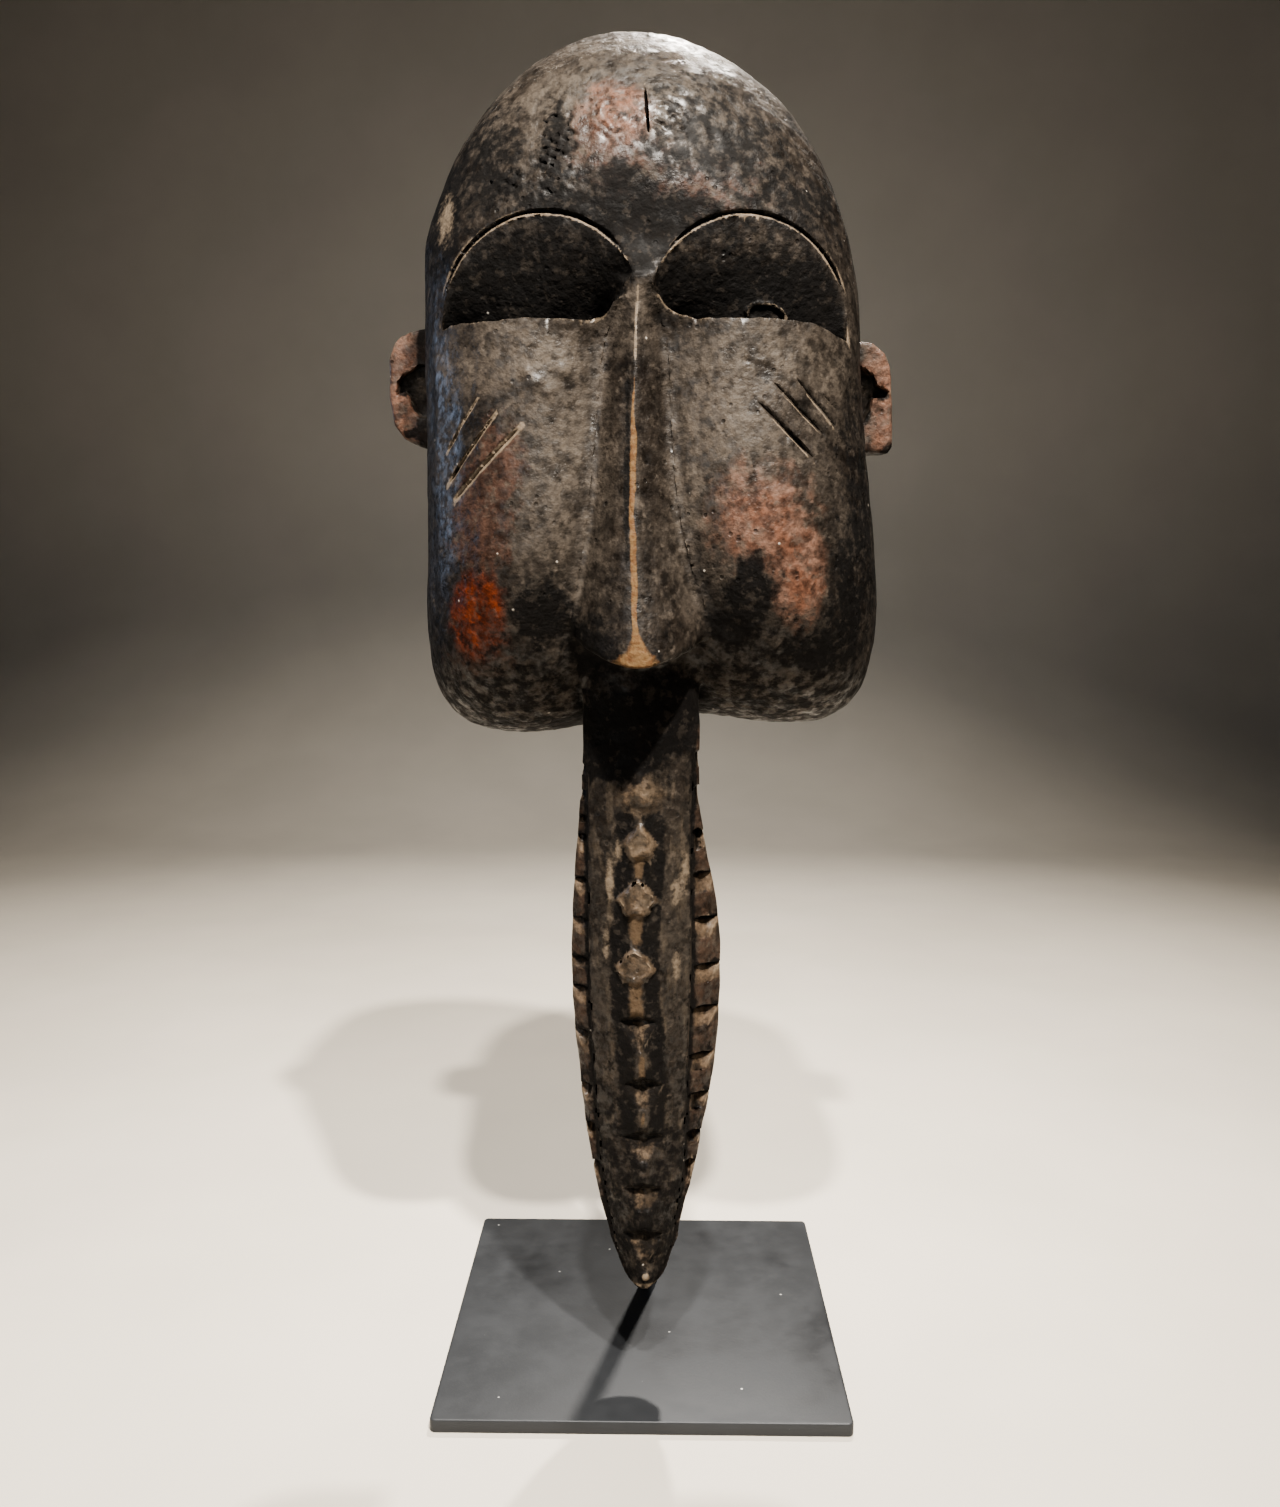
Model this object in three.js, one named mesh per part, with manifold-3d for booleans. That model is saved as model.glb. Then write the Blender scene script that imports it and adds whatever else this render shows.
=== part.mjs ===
import * as THREE from 'three';
import { mergeVertices } from 'three/addons/utils/BufferGeometryUtils.js';
import Module from 'manifold-3d';

const wasm = await Module();
wasm.setup();

// Sizes are in millimetres. +Z is up, the face looks along -Y and the plate lies on z = 0.

// Stand: a square plate and an upright rod that ends under the crown
const plateSide = 180;
const plateThickness = 6;
const plateCorner = 2.5;
const plateBevel = 0.5;
const rodRadius = 4;
const rodX = 3;
const rodY = 24;
const rodBendZ = 490;
const rodTip = new THREE.Vector3(-4, -8, 573);
const rodSides = 24;
const rodBendSteps = 10;
const touchGap = 0.3;

// Head: its outline from the front as curves of two handles and an end, each as x, z, after the start
const outlineStart = [0, 300];
const outlineCurves = [
  [-20, 298, -34, 291.5, -54, 291.5],
  [-88, 291.5, -97.5, 304, -97.5, 350],
  [-95.5, 395, -97.5, 462, -97.5, 502],
  [-97.5, 512, -74, 593.5, -5, 593.5],
  [22, 593.5, 92, 568, 93, 464],
  [93, 419, 101.5, 385, 102.5, 350],
  [102.5, 305, 90, 296.3, 62, 296.5],
  [42, 297, 34, 302, 0, 300],
];
const headMiddle = 435;
const faceDepth = 80;
const facePower = 3;
const domePower = 2.4;
const domeStartZ = 440;
const domeEndZ = 530;
const rimY = 50;
const rimTaper = 0.04;

// Cheeks that bulge beside a valley, a hollow brow and a ledge under the eyes
const cheekBulge = 9;
const cheekX = 54;
const cheekSpread = 34;
const cheekZ = 360;
const cheekRise = 48;
const valleyDepth = 14;
const valleySpread = 19;
const valleyTopZ = 452;
const valleyEndZ = 482;
const browHollow = 5;
const browHollowX = -2;
const browHollowSpread = 34;
const browHollowZ = 494;
const browHollowRise = 14;
const ledgeZ = 461;
const ledgeDrop = 3;
const ledgeFall = 5;

// Eyes: a half-moon panel above the ledge, sunk towards a slit, under a cut brow line
const eyeMiddles = [-42.4, 41.2];
const eyeHalfWidth = 41;
const eyeHeight = 41;
const eyeDepth = 19;
const eyeLip = 0.8;
const lidPower = 1.5;
const browCutWidth = 3.4;
const browCutDeepAt = 2.2;
const browCutDepth = 2.4;
const slitHalfLength = 24;
const slitHeight = 4;

// Hollow behind the face
const wall = 14;
const rimWall = 10;
const hollowDepth = 62;
const hollowEyeRelief = 18;
const hollowEyeZ = 468;
const hollowEyeRise = 30;
const neckCutHalfWidth = 46;
const neckCutBaseZ = 285;
const neckCutHeight = 36;

// Nose: half widths and crest depths at even steps from the bridge down to the tip
const noseTopZ = 475;
const noseTipZ = 325;
const noseHalfWidths = [5.5, 12.5, 14.5, 16, 18.5, 22.5, 27.5];
const noseCrestY = [-77, -79.5, -82.5, -86, -90, -94.5, -98.5];
const noseCrestX = [-3.5, -4.2, -4.8, -5, -4.8, -4, -2.5];
const noseSharpTop = 1.2;
const noseSharpTip = 2.3;
const noseRootSink = 2;
const noseRimRise = 13;

// Beard: widths at even steps from under the head to the tip
const beardTopZ = 300.5;
const beardTipZ = 47.8;
const beardRootZ = 345;
const beardLeft = [26.7, 27, 28.9, 30.8, 31.6, 31, 29, 26.2, 22, 15.5, 13];
const beardRight = [23.1, 23.7, 26.1, 31.1, 33.6, 33.4, 31.3, 27.7, 22.2, 16.6, 15.5];
const bandLeft = [24.2, 24, 24, 24, 23.7, 23.1, 21.7, 19.9, 17.7, 13.4, 11];
const bandRight = [20.3, 20.1, 19.8, 20.2, 20.6, 20.1, 19.3, 18.7, 17.3, 14, 12.8];
const beardThickness = [36, 35, 34, 33, 32, 30, 27, 23, 19, 15, 13];
const beardFrontY = -66;
const beardSweep = 7;
const bandBulge = 8;
const keelX = [-1.5, -1.8, -1.9, -2.9, -3.7, -2.8, -0.3, 0, 0.3, 0.7, 1.1];
const keelHeight = 2;
const keelSpread = 4.6;
const flangeStep = 1.5;
const flangeSlope = 0.9;
const tipRounding = 20;

// Carving of the beard: heights of the stop cuts on both flanges and the keel, and of the keel's beads
const leftStops = [281.4, 270.1, 259.1, 250.9, 232, 214.3, 196.6, 183.6, 163.6, 138.9, 120.9, 103];
const rightStops = [286.8, 271.7, 252.9, 234, 214.2, 193.3, 173.8, 152.8, 134.4, 116.9, 103.5];
const keelStops = [171.5, 143.1, 121.1, 96.5, 77.2];
const keelBeads = [270, 248.5, 225, 195.5];
const chipDepth = 4;
const chipRoof = 3;
const lastChipHeight = 14;
const keelChipHalfWidth = 8.5;
const keelChipHeight = 12;
const beadHalfWidth = 8.5;
const beadRise = 11;
const beadFall = 7;
const beadHeight = 3.4;

// Grooves in the face as x, z of both ends, half width and depth: cheek scars, then the forehead's split
const faceGrooves = [
  [-66.2, 432.1, -81.8, 410, 0.9, 1.2],
  [-58.8, 425.1, -81.5, 396.7, 1.3, 1.6],
  [-48.9, 419.3, -78.4, 390.4, 1.7, 1.9],
  [42.7, 430, 68.6, 405.7, 1.3, 1.6],
  [49.4, 437.2, 72.7, 415.9, 1.3, 1.6],
  [58.4, 439.5, 78.5, 419.2, 1.3, 1.6],
  [70.3, 433.7, 79.1, 426.4, 0.9, 1],
  [-0.2, 554.4, -0.2, 532.4, 0.9, 3],
];

// Ears: flat plates at the sides with a carved hollow, outlines as x, z
const earFrontY = 2;
const earThickness = 13;
const earPocketDepth = 6;
const leftEar = [[-88, 473.4], [-103, 473.1], [-108.3, 472.4], [-112.3, 470.5], [-115.6, 466.8],
  [-117.6, 459.5], [-117.7, 442.7], [-115.6, 430.6], [-111.5, 425], [-104.6, 421.6], [-88, 417.5]];
const leftEarPocket = [[-96, 457.5], [-104, 457.3], [-108, 454.6], [-111.3, 453], [-114, 449.7],
  [-114.4, 444], [-110.8, 445.2], [-109.2, 443.7], [-107, 437], [-104.1, 434.4], [-96, 433.8]];
const rightEar = [[88, 468.5], [96, 468.3], [102.1, 467.1], [107.4, 462.7], [110.1, 457.7],
  [111.3, 451.4], [111.9, 434.3], [111.7, 421.5], [109.8, 418.9], [88, 418.3]];
const rightEarPocket = [[92, 457.7], [98.5, 456.4], [102.5, 453.9], [104.5, 448.8], [109.6, 445.9],
  [108.5, 443.6], [102.7, 443.1], [101.5, 438.1], [98.4, 432.8], [92, 432.8]];

const wood = { color: 0x4a3f37, roughness: 0.5, metalness: 0 };
const steel = { color: 0x2b2d30, roughness: 0.45, metalness: 0.8 };

// Small curves and solids

function hump(value) {
  return Math.exp(-value * value / 2);
}

function ramp(value, from, to) {
  const t = Math.min(1, Math.max(0, (value - from) / (to - from)));
  return t * t * (3 - 2 * t);
}

// Smooth value at t from 0 to 1 through evenly spaced values
function along(values, t) {
  const last = values.length - 1;
  const place = Math.min(last, Math.max(0, t * last));
  const i = Math.min(last - 1, Math.floor(place));
  const f = place - i;
  const a = values[Math.max(0, i - 1)];
  const b = values[i];
  const c = values[i + 1];
  const d = values[Math.min(last, i + 2)];
  return b + 0.5 * f * (c - a + f * (2 * a - 5 * b + 4 * c - d + f * (3 * (b - c) + d - a)));
}

function toSolid(geometry) {
  const plain = geometry.clone();
  plain.deleteAttribute('normal');
  plain.deleteAttribute('uv');
  const merged = mergeVertices(plain, 1e-3);
  const corners = merged.index.array;
  const kept = [];
  for (let i = 0; i < corners.length; i += 3) {
    const [a, b, c] = corners.slice(i, i + 3);
    if (a !== b && b !== c && a !== c) {
      kept.push(a, b, c);
    }
  }
  const position = merged.attributes.position;
  const [a, b, c] = [0, 1, 2].map(() => new THREE.Vector3());
  let volume = 0;
  for (let i = 0; i < kept.length; i += 3) {
    a.fromBufferAttribute(position, kept[i]);
    b.fromBufferAttribute(position, kept[i + 1]);
    c.fromBufferAttribute(position, kept[i + 2]);
    volume += a.dot(b.cross(c));
  }
  if (volume < 0) {
    kept.reverse();
  }
  const vertProperties = new Float32Array(position.array);
  const triVerts = new Uint32Array(kept);
  return new wasm.Manifold(new wasm.Mesh({ numProp: 3, vertProperties, triVerts }));
}

function toGeometry(solid) {
  const mesh = solid.getMesh();
  const geometry = new THREE.BufferGeometry();
  geometry.setAttribute('position', new THREE.BufferAttribute(new Float32Array(mesh.vertProperties), 3));
  geometry.setIndex(new THREE.BufferAttribute(new Uint32Array(mesh.triVerts), 1));
  geometry.computeVertexNormals();
  return geometry;
}

// Closed skin over rings of points, each end closed round its middle
function skin(rings) {
  const count = rings[0].length;
  const points = rings.flat();
  const index = [];
  for (let r = 0; r < rings.length - 1; r++) {
    for (let i = 0; i < count; i++) {
      const a = r * count + i;
      const b = r * count + (i + 1) % count;
      const [c, d] = [a + count, b + count];
      const short = points[a].distanceTo(points[d]) < points[b].distanceTo(points[c]);
      index.push(...(short ? [a, b, d, a, d, c] : [a, b, c, b, d, c]));
    }
  }
  const ends = [0, rings.length - 1];
  for (const r of ends) {
    const middle = points.length;
    const sum = new THREE.Vector3();
    rings[r].forEach((p) => sum.add(p));
    points.push(sum.divideScalar(count));
    for (let i = 0; i < count; i++) {
      const a = r * count + i;
      const b = r * count + (i + 1) % count;
      index.push(...(r === 0 ? [b, a, middle] : [a, b, middle]));
    }
  }
  const geometry = new THREE.BufferGeometry().setFromPoints(points);
  geometry.setIndex(index);
  return toSolid(geometry);
}

// Plate cut from an outline in x, z, from its front at y = front
function frontPlate(outline, front, thickness) {
  const shape = new THREE.Shape(outline.map(([x, z]) => new THREE.Vector2(x, z)));
  const geometry = new THREE.ExtrudeGeometry(shape, { depth: thickness, bevelEnabled: false });
  geometry.rotateX(Math.PI / 2);
  geometry.translate(0, front + thickness, 0);
  return toSolid(geometry);
}

// Head

function outlinePath() {
  const path = new THREE.Path();
  path.moveTo(...outlineStart);
  outlineCurves.forEach((curve) => path.bezierCurveTo(...curve));
  return path;
}

const outlineAngles = outlinePath().getSpacedPoints(720).map((p) => ({
  angle: Math.atan2(p.y - headMiddle, p.x),
  radius: Math.hypot(p.x, p.y - headMiddle),
})).sort((a, b) => a.angle - b.angle);

// How far x, z lies out from the middle of the face, 1 at the outline
function outward(x, z) {
  const angle = Math.atan2(z - headMiddle, x);
  const next = outlineAngles.findIndex((entry) => entry.angle >= angle);
  const b = outlineAngles[Math.max(0, next)];
  const a = outlineAngles[next > 0 ? next - 1 : outlineAngles.length - 1];
  const span = b.angle - a.angle;
  const f = next > 0 && span > 0 ? (angle - a.angle) / span : 0;
  return Math.hypot(x, z - headMiddle) / (a.radius + (b.radius - a.radius) * f);
}

// Height of the ledge under the eyes, which falls away at the outer end of the right eye
function ledgeAt(x) {
  return ledgeZ - ledgeFall * ramp(x, 60, 90);
}

function faceY(x, z, reach = Math.min(1, outward(x, z))) {
  const power = facePower + (domePower - facePower) * ramp(z, domeStartZ, domeEndZ);
  const round = (1 - reach ** power) ** (1 / power);
  const cheek = cheekBulge * hump((Math.abs(x) - cheekX) / cheekSpread) * hump((z - cheekZ) / cheekRise);
  const fade = 1 - ramp(z, valleyTopZ, valleyEndZ);
  const valley = valleyDepth * hump((x - noseCrestX[2]) / valleySpread) * fade;
  const brow = browHollow * hump((x - browHollowX) / browHollowSpread) * hump((z - browHollowZ) / browHollowRise);
  return -round * (faceDepth + cheek - valley - brow);
}

// Rings of the outline: straight back to the rim, then in towards the middle of the face
function outlineRings(around, inset, depthAt) {
  const edge = outlinePath().getSpacedPoints(around).slice(0, around);
  const rings = [];
  const ring = (y, reach, side) => edge.map((p) => {
    const out = new THREE.Vector2(p.x, p.y - headMiddle);
    out.setLength(out.length() * side - inset(y));
    out.multiplyScalar(reach);
    const z = headMiddle + out.y;
    return new THREE.Vector3(out.x, y ?? depthAt(out.x, z, reach), z);
  });
  for (const t of [1, 0.66, 0.33]) {
    rings.push(ring(rimY * t, 1, 1 - rimTaper * t * t));
  }
  for (const degrees of [90, 81, 72, 63, 55, 48, 41.5, 35.5, 30, 25, 20, 15, 10, 5]) {
    const reach = Math.sin(degrees * Math.PI / 180) ** 0.8;
    rings.push(ring(null, reach, 1));
  }
  return rings;
}

function headBlock() {
  return skin(outlineRings(64, () => 0, (x, z, reach) => faceY(x, z, reach)));
}

function hollow() {
  const inset = (y) => wall + (rimWall - wall) * Math.max(0, y ?? 0) / rimY;
  const depthAt = (x, z, reach) => {
    const relief = hollowEyeRelief * hump((z - hollowEyeZ) / hollowEyeRise);
    const power = facePower + (domePower - facePower) * ramp(z, domeStartZ, domeEndZ);
    return -(hollowDepth - relief) * (1 - reach ** power) ** (1 / power);
  };
  const rings = outlineRings(36, inset, depthAt);
  rings.unshift(rings[0].map((p) => new THREE.Vector3(p.x, p.y + 2, p.z)));
  return skin(rings);
}

function neckCut() {
  const outline = [];
  const steps = 20;
  for (let i = 0; i <= steps; i++) {
    const turn = Math.PI * i / steps;
    const across = Math.sign(Math.cos(turn)) * Math.abs(Math.cos(turn)) ** 0.4;
    const x = Math.abs(across) < 1e-6 ? 0 : neckCutHalfWidth * across;
    outline.push([x, neckCutBaseZ + neckCutHeight * Math.sin(turn) ** 0.4]);
  }
  return frontPlate(outline, rodY - rodRadius - touchGap, rimY);
}

// Eyes

function eyeSocket(middle) {
  const rings = [];
  const steps = 18;
  for (let i = 0; i <= steps; i++) {
    const u = -0.995 * Math.cos(Math.PI * i / steps);
    const x = middle + eyeHalfWidth * u;
    const ledge = ledgeAt(x);
    const top = ledgeZ + eyeHeight * Math.sqrt(1 - u * u);
    const edgeY = faceY(x, ledge);
    const deepY = edgeY + eyeDepth * (1 - u * u) ** 0.4;
    const archY = faceY(x, top) + eyeLip;
    const low = ledge - ledgeDrop * (deepY - edgeY) / eyeDepth;
    const outsideY = edgeY - 20;
    const ring = [
      new THREE.Vector3(x, outsideY, ledge + ledgeDrop),
      new THREE.Vector3(x, outsideY, top + 0.1),
    ];
    for (let j = 0; j <= 6; j++) {
      const t = j / 6;
      ring.push(new THREE.Vector3(x, archY + (deepY - archY) * t ** lidPower, top + (low - top) * t));
    }
    ring.push(new THREE.Vector3(x, edgeY, ledge));
    rings.push(ring);
  }
  return skin(rings);
}

function browCut(middle) {
  const rings = [];
  const steps = 24;
  for (let i = 0; i <= steps; i++) {
    const turn = Math.PI * (0.03 + 0.94 * i / steps);
    const point = (offset, sink) => {
      const x = middle - (eyeHalfWidth + offset) * Math.cos(turn);
      const z = ledgeZ + (eyeHeight + offset) * Math.sin(turn);
      return new THREE.Vector3(x, faceY(x, z) + sink, z);
    };
    rings.push([point(browCutWidth, -1), point(browCutDeepAt, browCutDepth), point(-0.6, -1)]);
  }
  return skin(rings);
}

function faceGroove([startX, startZ, endX, endZ, half, depth]) {
  const rings = [];
  const steps = 4;
  const length = Math.hypot(endX - startX, endZ - startZ);
  const [acrossX, acrossZ] = [(endZ - startZ) / length, (startX - endX) / length];
  for (let i = 0; i <= steps; i++) {
    const t = i / steps;
    const deep = depth * (1 - 0.9 * (2 * t - 1) ** 4);
    const point = (offset, sink) => {
      const x = startX + (endX - startX) * t + acrossX * offset;
      const z = startZ + (endZ - startZ) * t + acrossZ * offset;
      return new THREE.Vector3(x, faceY(x, z) + sink, z);
    };
    rings.push([point(half * 1.5, -depth / 2), point(0, deep), point(-half * 1.5, -depth / 2)]);
  }
  return skin(rings);
}

function eyeSlit(middle) {
  const rings = [];
  const steps = 8;
  for (let i = 0; i <= steps; i++) {
    const u = 2 * i / steps - 1;
    const x = middle + slitHalfLength * u;
    const half = slitHeight / 2 * (1 - 0.8 * u * u);
    const low = ledgeAt(x) - ledgeDrop + slitHeight / 2;
    const front = faceY(x, ledgeZ) + eyeDepth - 6;
    const back = -20;
    rings.push([
      new THREE.Vector3(x, front, low - half),
      new THREE.Vector3(x, front, low + half),
      new THREE.Vector3(x, back, low + half),
      new THREE.Vector3(x, back, low - half),
    ]);
  }
  return skin(rings);
}

// Nose

function nose() {
  const rings = [];
  const steps = 18;
  const across = 10;
  for (let k = 0; k <= steps; k++) {
    const t = k / steps;
    const half = along(noseHalfWidths, t);
    const crestX = along(noseCrestX, t);
    const crestY = along(noseCrestY, t);
    const sharpness = noseSharpTop + (noseSharpTip - noseSharpTop) * t * t;
    const ring = [];
    for (let i = 0; i <= across; i++) {
      const u = 2 * i / across - 1;
      const rim = noseTipZ + noseRimRise * u * u;
      const z = noseTopZ + (rim - noseTopZ) * t;
      const rootY = faceY(crestX + half * Math.sign(u), z) + noseRootSink;
      const y = rootY + (crestY - rootY) * (1 - Math.abs(u) ** sharpness);
      ring.push(new THREE.Vector3(crestX + half * u, y, z));
    }
    const backZ = noseTopZ + (noseTipZ + noseRimRise + 3 - noseTopZ) * t;
    ring.push(new THREE.Vector3(crestX + half, -45, backZ), new THREE.Vector3(crestX - half, -45, backZ));
    rings.push(ring);
  }
  return skin(rings);
}

// Beard

function beardAt(z) {
  const t = (beardTopZ - z) / (beardTopZ - beardTipZ);
  const tip = Math.sqrt(Math.min(1, Math.max(0, (z - beardTipZ) / tipRounding)));
  const front = beardFrontY + beardSweep * Math.max(0, t) ** 2;
  const left = along(beardLeft, t) * tip;
  const right = along(beardRight, t) * tip;
  const innerLeft = Math.min(left - 0.5, along(bandLeft, t) * tip);
  const innerRight = Math.min(right - 0.5, along(bandRight, t) * tip);
  const bandY = front + bandBulge * tip;
  const backY = front + 6 + along(beardThickness, t) * tip;
  const middle = along(keelX, t) * tip;
  return { tip, front, left, right, innerLeft, innerRight, bandY, backY, middle };
}

function beard() {
  const rings = [];
  const steps = 30;
  const across = 10;
  for (let k = 0; k <= steps; k++) {
    const z = beardTipZ + 0.4 + (beardRootZ - beardTipZ - 0.4) * (k / steps) ** 1.5;
    const { tip, front, left, right, innerLeft, innerRight, bandY, backY, middle } = beardAt(z);
    const ring = [];
    for (let i = 0; i <= across; i++) {
      const u = 2 * i / across - 1;
      const x = (u < 0 ? innerLeft : innerRight) * u + middle * (1 - u * u);
      const share = x / (x < 0 ? innerLeft : innerRight);
      const keel = keelHeight * tip * hump((x - middle) / keelSpread);
      ring.push(new THREE.Vector3(x, front + (bandY - front) * share * share - keel, z));
    }
    const rightY = bandY + (right - innerRight) * flangeSlope;
    const leftY = bandY + (left - innerLeft) * flangeSlope;
    const stepY = bandY + flangeStep * tip;
    ring.push(new THREE.Vector3(innerRight + 0.3 * tip, stepY, z), new THREE.Vector3(right, rightY, z));
    ring.push(new THREE.Vector3(right, rightY + 3 * tip, z), new THREE.Vector3(right * 0.62, backY, z));
    ring.push(new THREE.Vector3(-left * 0.62, backY, z), new THREE.Vector3(-left, leftY + 3 * tip, z));
    ring.push(new THREE.Vector3(-left, leftY, z), new THREE.Vector3(-innerLeft - 0.3 * tip, stepY, z));
    rings.push(ring);
  }
  return skin(rings);
}

// Low pyramid of wood between corners on a surface and a point in or out of it
function pyramid(rim, point, otherPoint) {
  const count = rim.length;
  const geometry = new THREE.BufferGeometry().setFromPoints([...rim, point, otherPoint]);
  const index = [];
  rim.forEach((_, i) => {
    const next = (i + 1) % count;
    index.push(i, next, count, next, i, count + 1);
  });
  geometry.setIndex(index);
  return toSolid(geometry);
}

// V cuts in a flange: a short steep wall above each stop and a long facet below it
function flangeChips(side, stops) {
  return stops.map((z, i) => {
    const point = (height, share, sink) => {
      const b = beardAt(height);
      const inner = side < 0 ? b.innerLeft : b.innerRight;
      const outer = side < 0 ? b.left : b.right;
      const out = inner + (outer - inner) * share;
      return new THREE.Vector3(side * out, b.bandY + (out - inner) * flangeSlope + sink, height);
    };
    const low = z - 0.86 * (z - (stops[i + 1] ?? z - lastChipHeight));
    const rim = [point(z, 0.05, 0), point(z + chipRoof, 0.7, 0), point(z, 1.3, 0), point(low, 0.75, 0)];
    const inward = new THREE.Vector3(-side * flangeSlope, 1, 0).normalize();
    const deep = point(z, 0.7, 0).addScaledVector(inward, chipDepth);
    const proud = point(z, 0.9, 0).addScaledVector(inward, -6);
    return pyramid(rim, deep, proud);
  });
}

// Point beside the keel's wandering middle line
function keelPoint(z, side, height, sink) {
  return new THREE.Vector3(beardAt(z).middle + side, beardAt(height).front + sink, height);
}

function keelChips() {
  return keelStops.map((z) => {
    const half = keelChipHalfWidth * Math.min(1, beardAt(z).innerRight / 14);
    const point = (side, height, sink) => keelPoint(z, side, height, sink);
    const rim = [
      point(-half, z, -0.8),
      point(0, z + chipRoof + 1, -keelHeight),
      point(half, z, -0.8),
      point(0, z - keelChipHeight, -keelHeight - 0.4),
    ];
    return pyramid(rim, point(0, z - 1, chipDepth), point(0, z, -chipDepth - 3));
  });
}

function beads() {
  return keelBeads.map((z) => {
    const point = (side, height, sink) => keelPoint(z, side, height, sink);
    const rim = [
      point(-beadHalfWidth, z, 1),
      point(0, z + beadRise, 1),
      point(beadHalfWidth, z, 1),
      point(0, z - beadFall, 1),
    ];
    return pyramid(rim, point(0, z, -keelHeight - beadHeight), point(0, z, 4));
  });
}

// Ears

function ear(outline, pocket) {
  const scoop = frontPlate(pocket, earFrontY - 1, earPocketDepth + 1);
  return frontPlate(outline, earFrontY, earThickness).subtract(scoop);
}

function mask() {
  let solid = headBlock();
  for (const middle of eyeMiddles) {
    solid = solid.subtract(browCut(middle)).subtract(eyeSocket(middle));
  }
  faceGrooves.forEach((line) => {
    solid = solid.subtract(faceGroove(line));
  });
  let whiskers = beard();
  beads().forEach((bead) => {
    whiskers = whiskers.add(bead);
  });
  const cuts = [...flangeChips(-1, leftStops), ...flangeChips(1, rightStops), ...keelChips()];
  cuts.forEach((cut) => {
    whiskers = whiskers.subtract(cut);
  });
  solid = solid.add(nose()).add(whiskers);
  solid = solid.add(ear(leftEar, leftEarPocket)).add(ear(rightEar, rightEarPocket));
  solid = solid.subtract(hollow()).subtract(neckCut());
  for (const middle of eyeMiddles) {
    solid = solid.subtract(eyeSlit(middle));
  }
  return toGeometry(solid);
}

// Stand

function plate() {
  const half = plateSide / 2 - plateBevel;
  const corner = plateCorner - plateBevel;
  const shape = new THREE.Shape();
  shape.moveTo(-half + corner, -half);
  shape.lineTo(half - corner, -half);
  shape.absarc(half - corner, -half + corner, corner, -Math.PI / 2, 0);
  shape.absarc(half - corner, half - corner, corner, 0, Math.PI / 2);
  shape.absarc(-half + corner, half - corner, corner, Math.PI / 2, Math.PI);
  shape.absarc(-half + corner, -half + corner, corner, Math.PI, Math.PI * 1.5);
  const geometry = new THREE.ExtrudeGeometry(shape, {
    depth: plateThickness - 2 * plateBevel,
    bevelThickness: plateBevel,
    bevelSize: plateBevel,
    bevelSegments: 1,
    curveSegments: 4,
  });
  geometry.translate(0, 0, plateBevel);
  return toGeometry(toSolid(geometry));
}

// Round section across a path at a point, one ring of the rod
function rodRing(point, direction) {
  const across = new THREE.Vector3(1, 0, 0).addScaledVector(direction, -direction.x).normalize();
  const forward = new THREE.Vector3().crossVectors(direction, across);
  const ring = [];
  for (let i = 0; i < rodSides; i++) {
    const turn = 2 * Math.PI * i / rodSides;
    const out = across.clone().multiplyScalar(Math.cos(turn)).addScaledVector(forward, Math.sin(turn));
    ring.push(point.clone().addScaledVector(out, rodRadius));
  }
  return ring;
}

function rod() {
  const foot = new THREE.Vector3(rodX, rodY, plateThickness + touchGap);
  const start = new THREE.Vector3(rodX, rodY, rodBendZ);
  const bend = new THREE.CubicBezierCurve3(
    start,
    new THREE.Vector3(rodX, rodY, rodBendZ + 40),
    new THREE.Vector3(rodTip.x, rodTip.y, rodTip.z - 34),
    rodTip,
  );
  const rings = [rodRing(foot, new THREE.Vector3(0, 0, 1))];
  for (let i = 0; i <= rodBendSteps; i++) {
    const t = i / rodBendSteps;
    rings.push(rodRing(bend.getPoint(t), bend.getTangent(t)));
  }
  return toGeometry(skin(rings));
}

function piece(name, geometry, look) {
  const mesh = new THREE.Mesh(geometry, new THREE.MeshStandardMaterial(look));
  mesh.name = name;
  return mesh;
}

const chokweMask = new THREE.Group();
chokweMask.add(piece('mask', mask(), wood));
chokweMask.add(piece('stand_rod', rod(), steel));
chokweMask.add(piece('stand_plate', plate(), steel));

export default chokweMask;
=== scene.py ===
"""Dresses a carved and worn wooden face mask and its steel stand, and sets them on a pale floor."""

import math

import bpy
import numpy as np
from bpy.props import FloatProperty, FloatVectorProperty, PointerProperty
from mathutils import Matrix, Vector


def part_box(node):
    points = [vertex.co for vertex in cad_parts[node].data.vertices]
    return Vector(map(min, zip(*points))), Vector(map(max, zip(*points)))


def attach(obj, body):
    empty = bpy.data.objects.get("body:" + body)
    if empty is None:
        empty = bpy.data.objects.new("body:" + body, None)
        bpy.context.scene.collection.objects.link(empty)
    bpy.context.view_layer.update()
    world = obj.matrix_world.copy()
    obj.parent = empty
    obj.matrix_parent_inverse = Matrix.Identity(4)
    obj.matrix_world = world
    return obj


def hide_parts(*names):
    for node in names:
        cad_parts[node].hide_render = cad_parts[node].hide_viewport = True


bl_info = {
    "name": "Carved Beard Mask",
    "version": (1, 0, 0),
    "blender": (4, 5, 0),
    "location": "3D View > Sidebar > Mask",
    "description": "Carves a bearded face mask, paints and wears its wood, and makes its stand",
    "category": "Add Mesh",
}

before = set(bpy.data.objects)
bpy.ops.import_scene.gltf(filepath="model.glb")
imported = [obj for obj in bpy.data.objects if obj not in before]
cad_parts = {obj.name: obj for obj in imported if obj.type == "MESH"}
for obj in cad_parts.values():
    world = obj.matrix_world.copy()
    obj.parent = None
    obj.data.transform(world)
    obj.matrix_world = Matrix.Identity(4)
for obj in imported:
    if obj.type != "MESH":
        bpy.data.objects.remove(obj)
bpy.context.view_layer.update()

MM = 0.001

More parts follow.
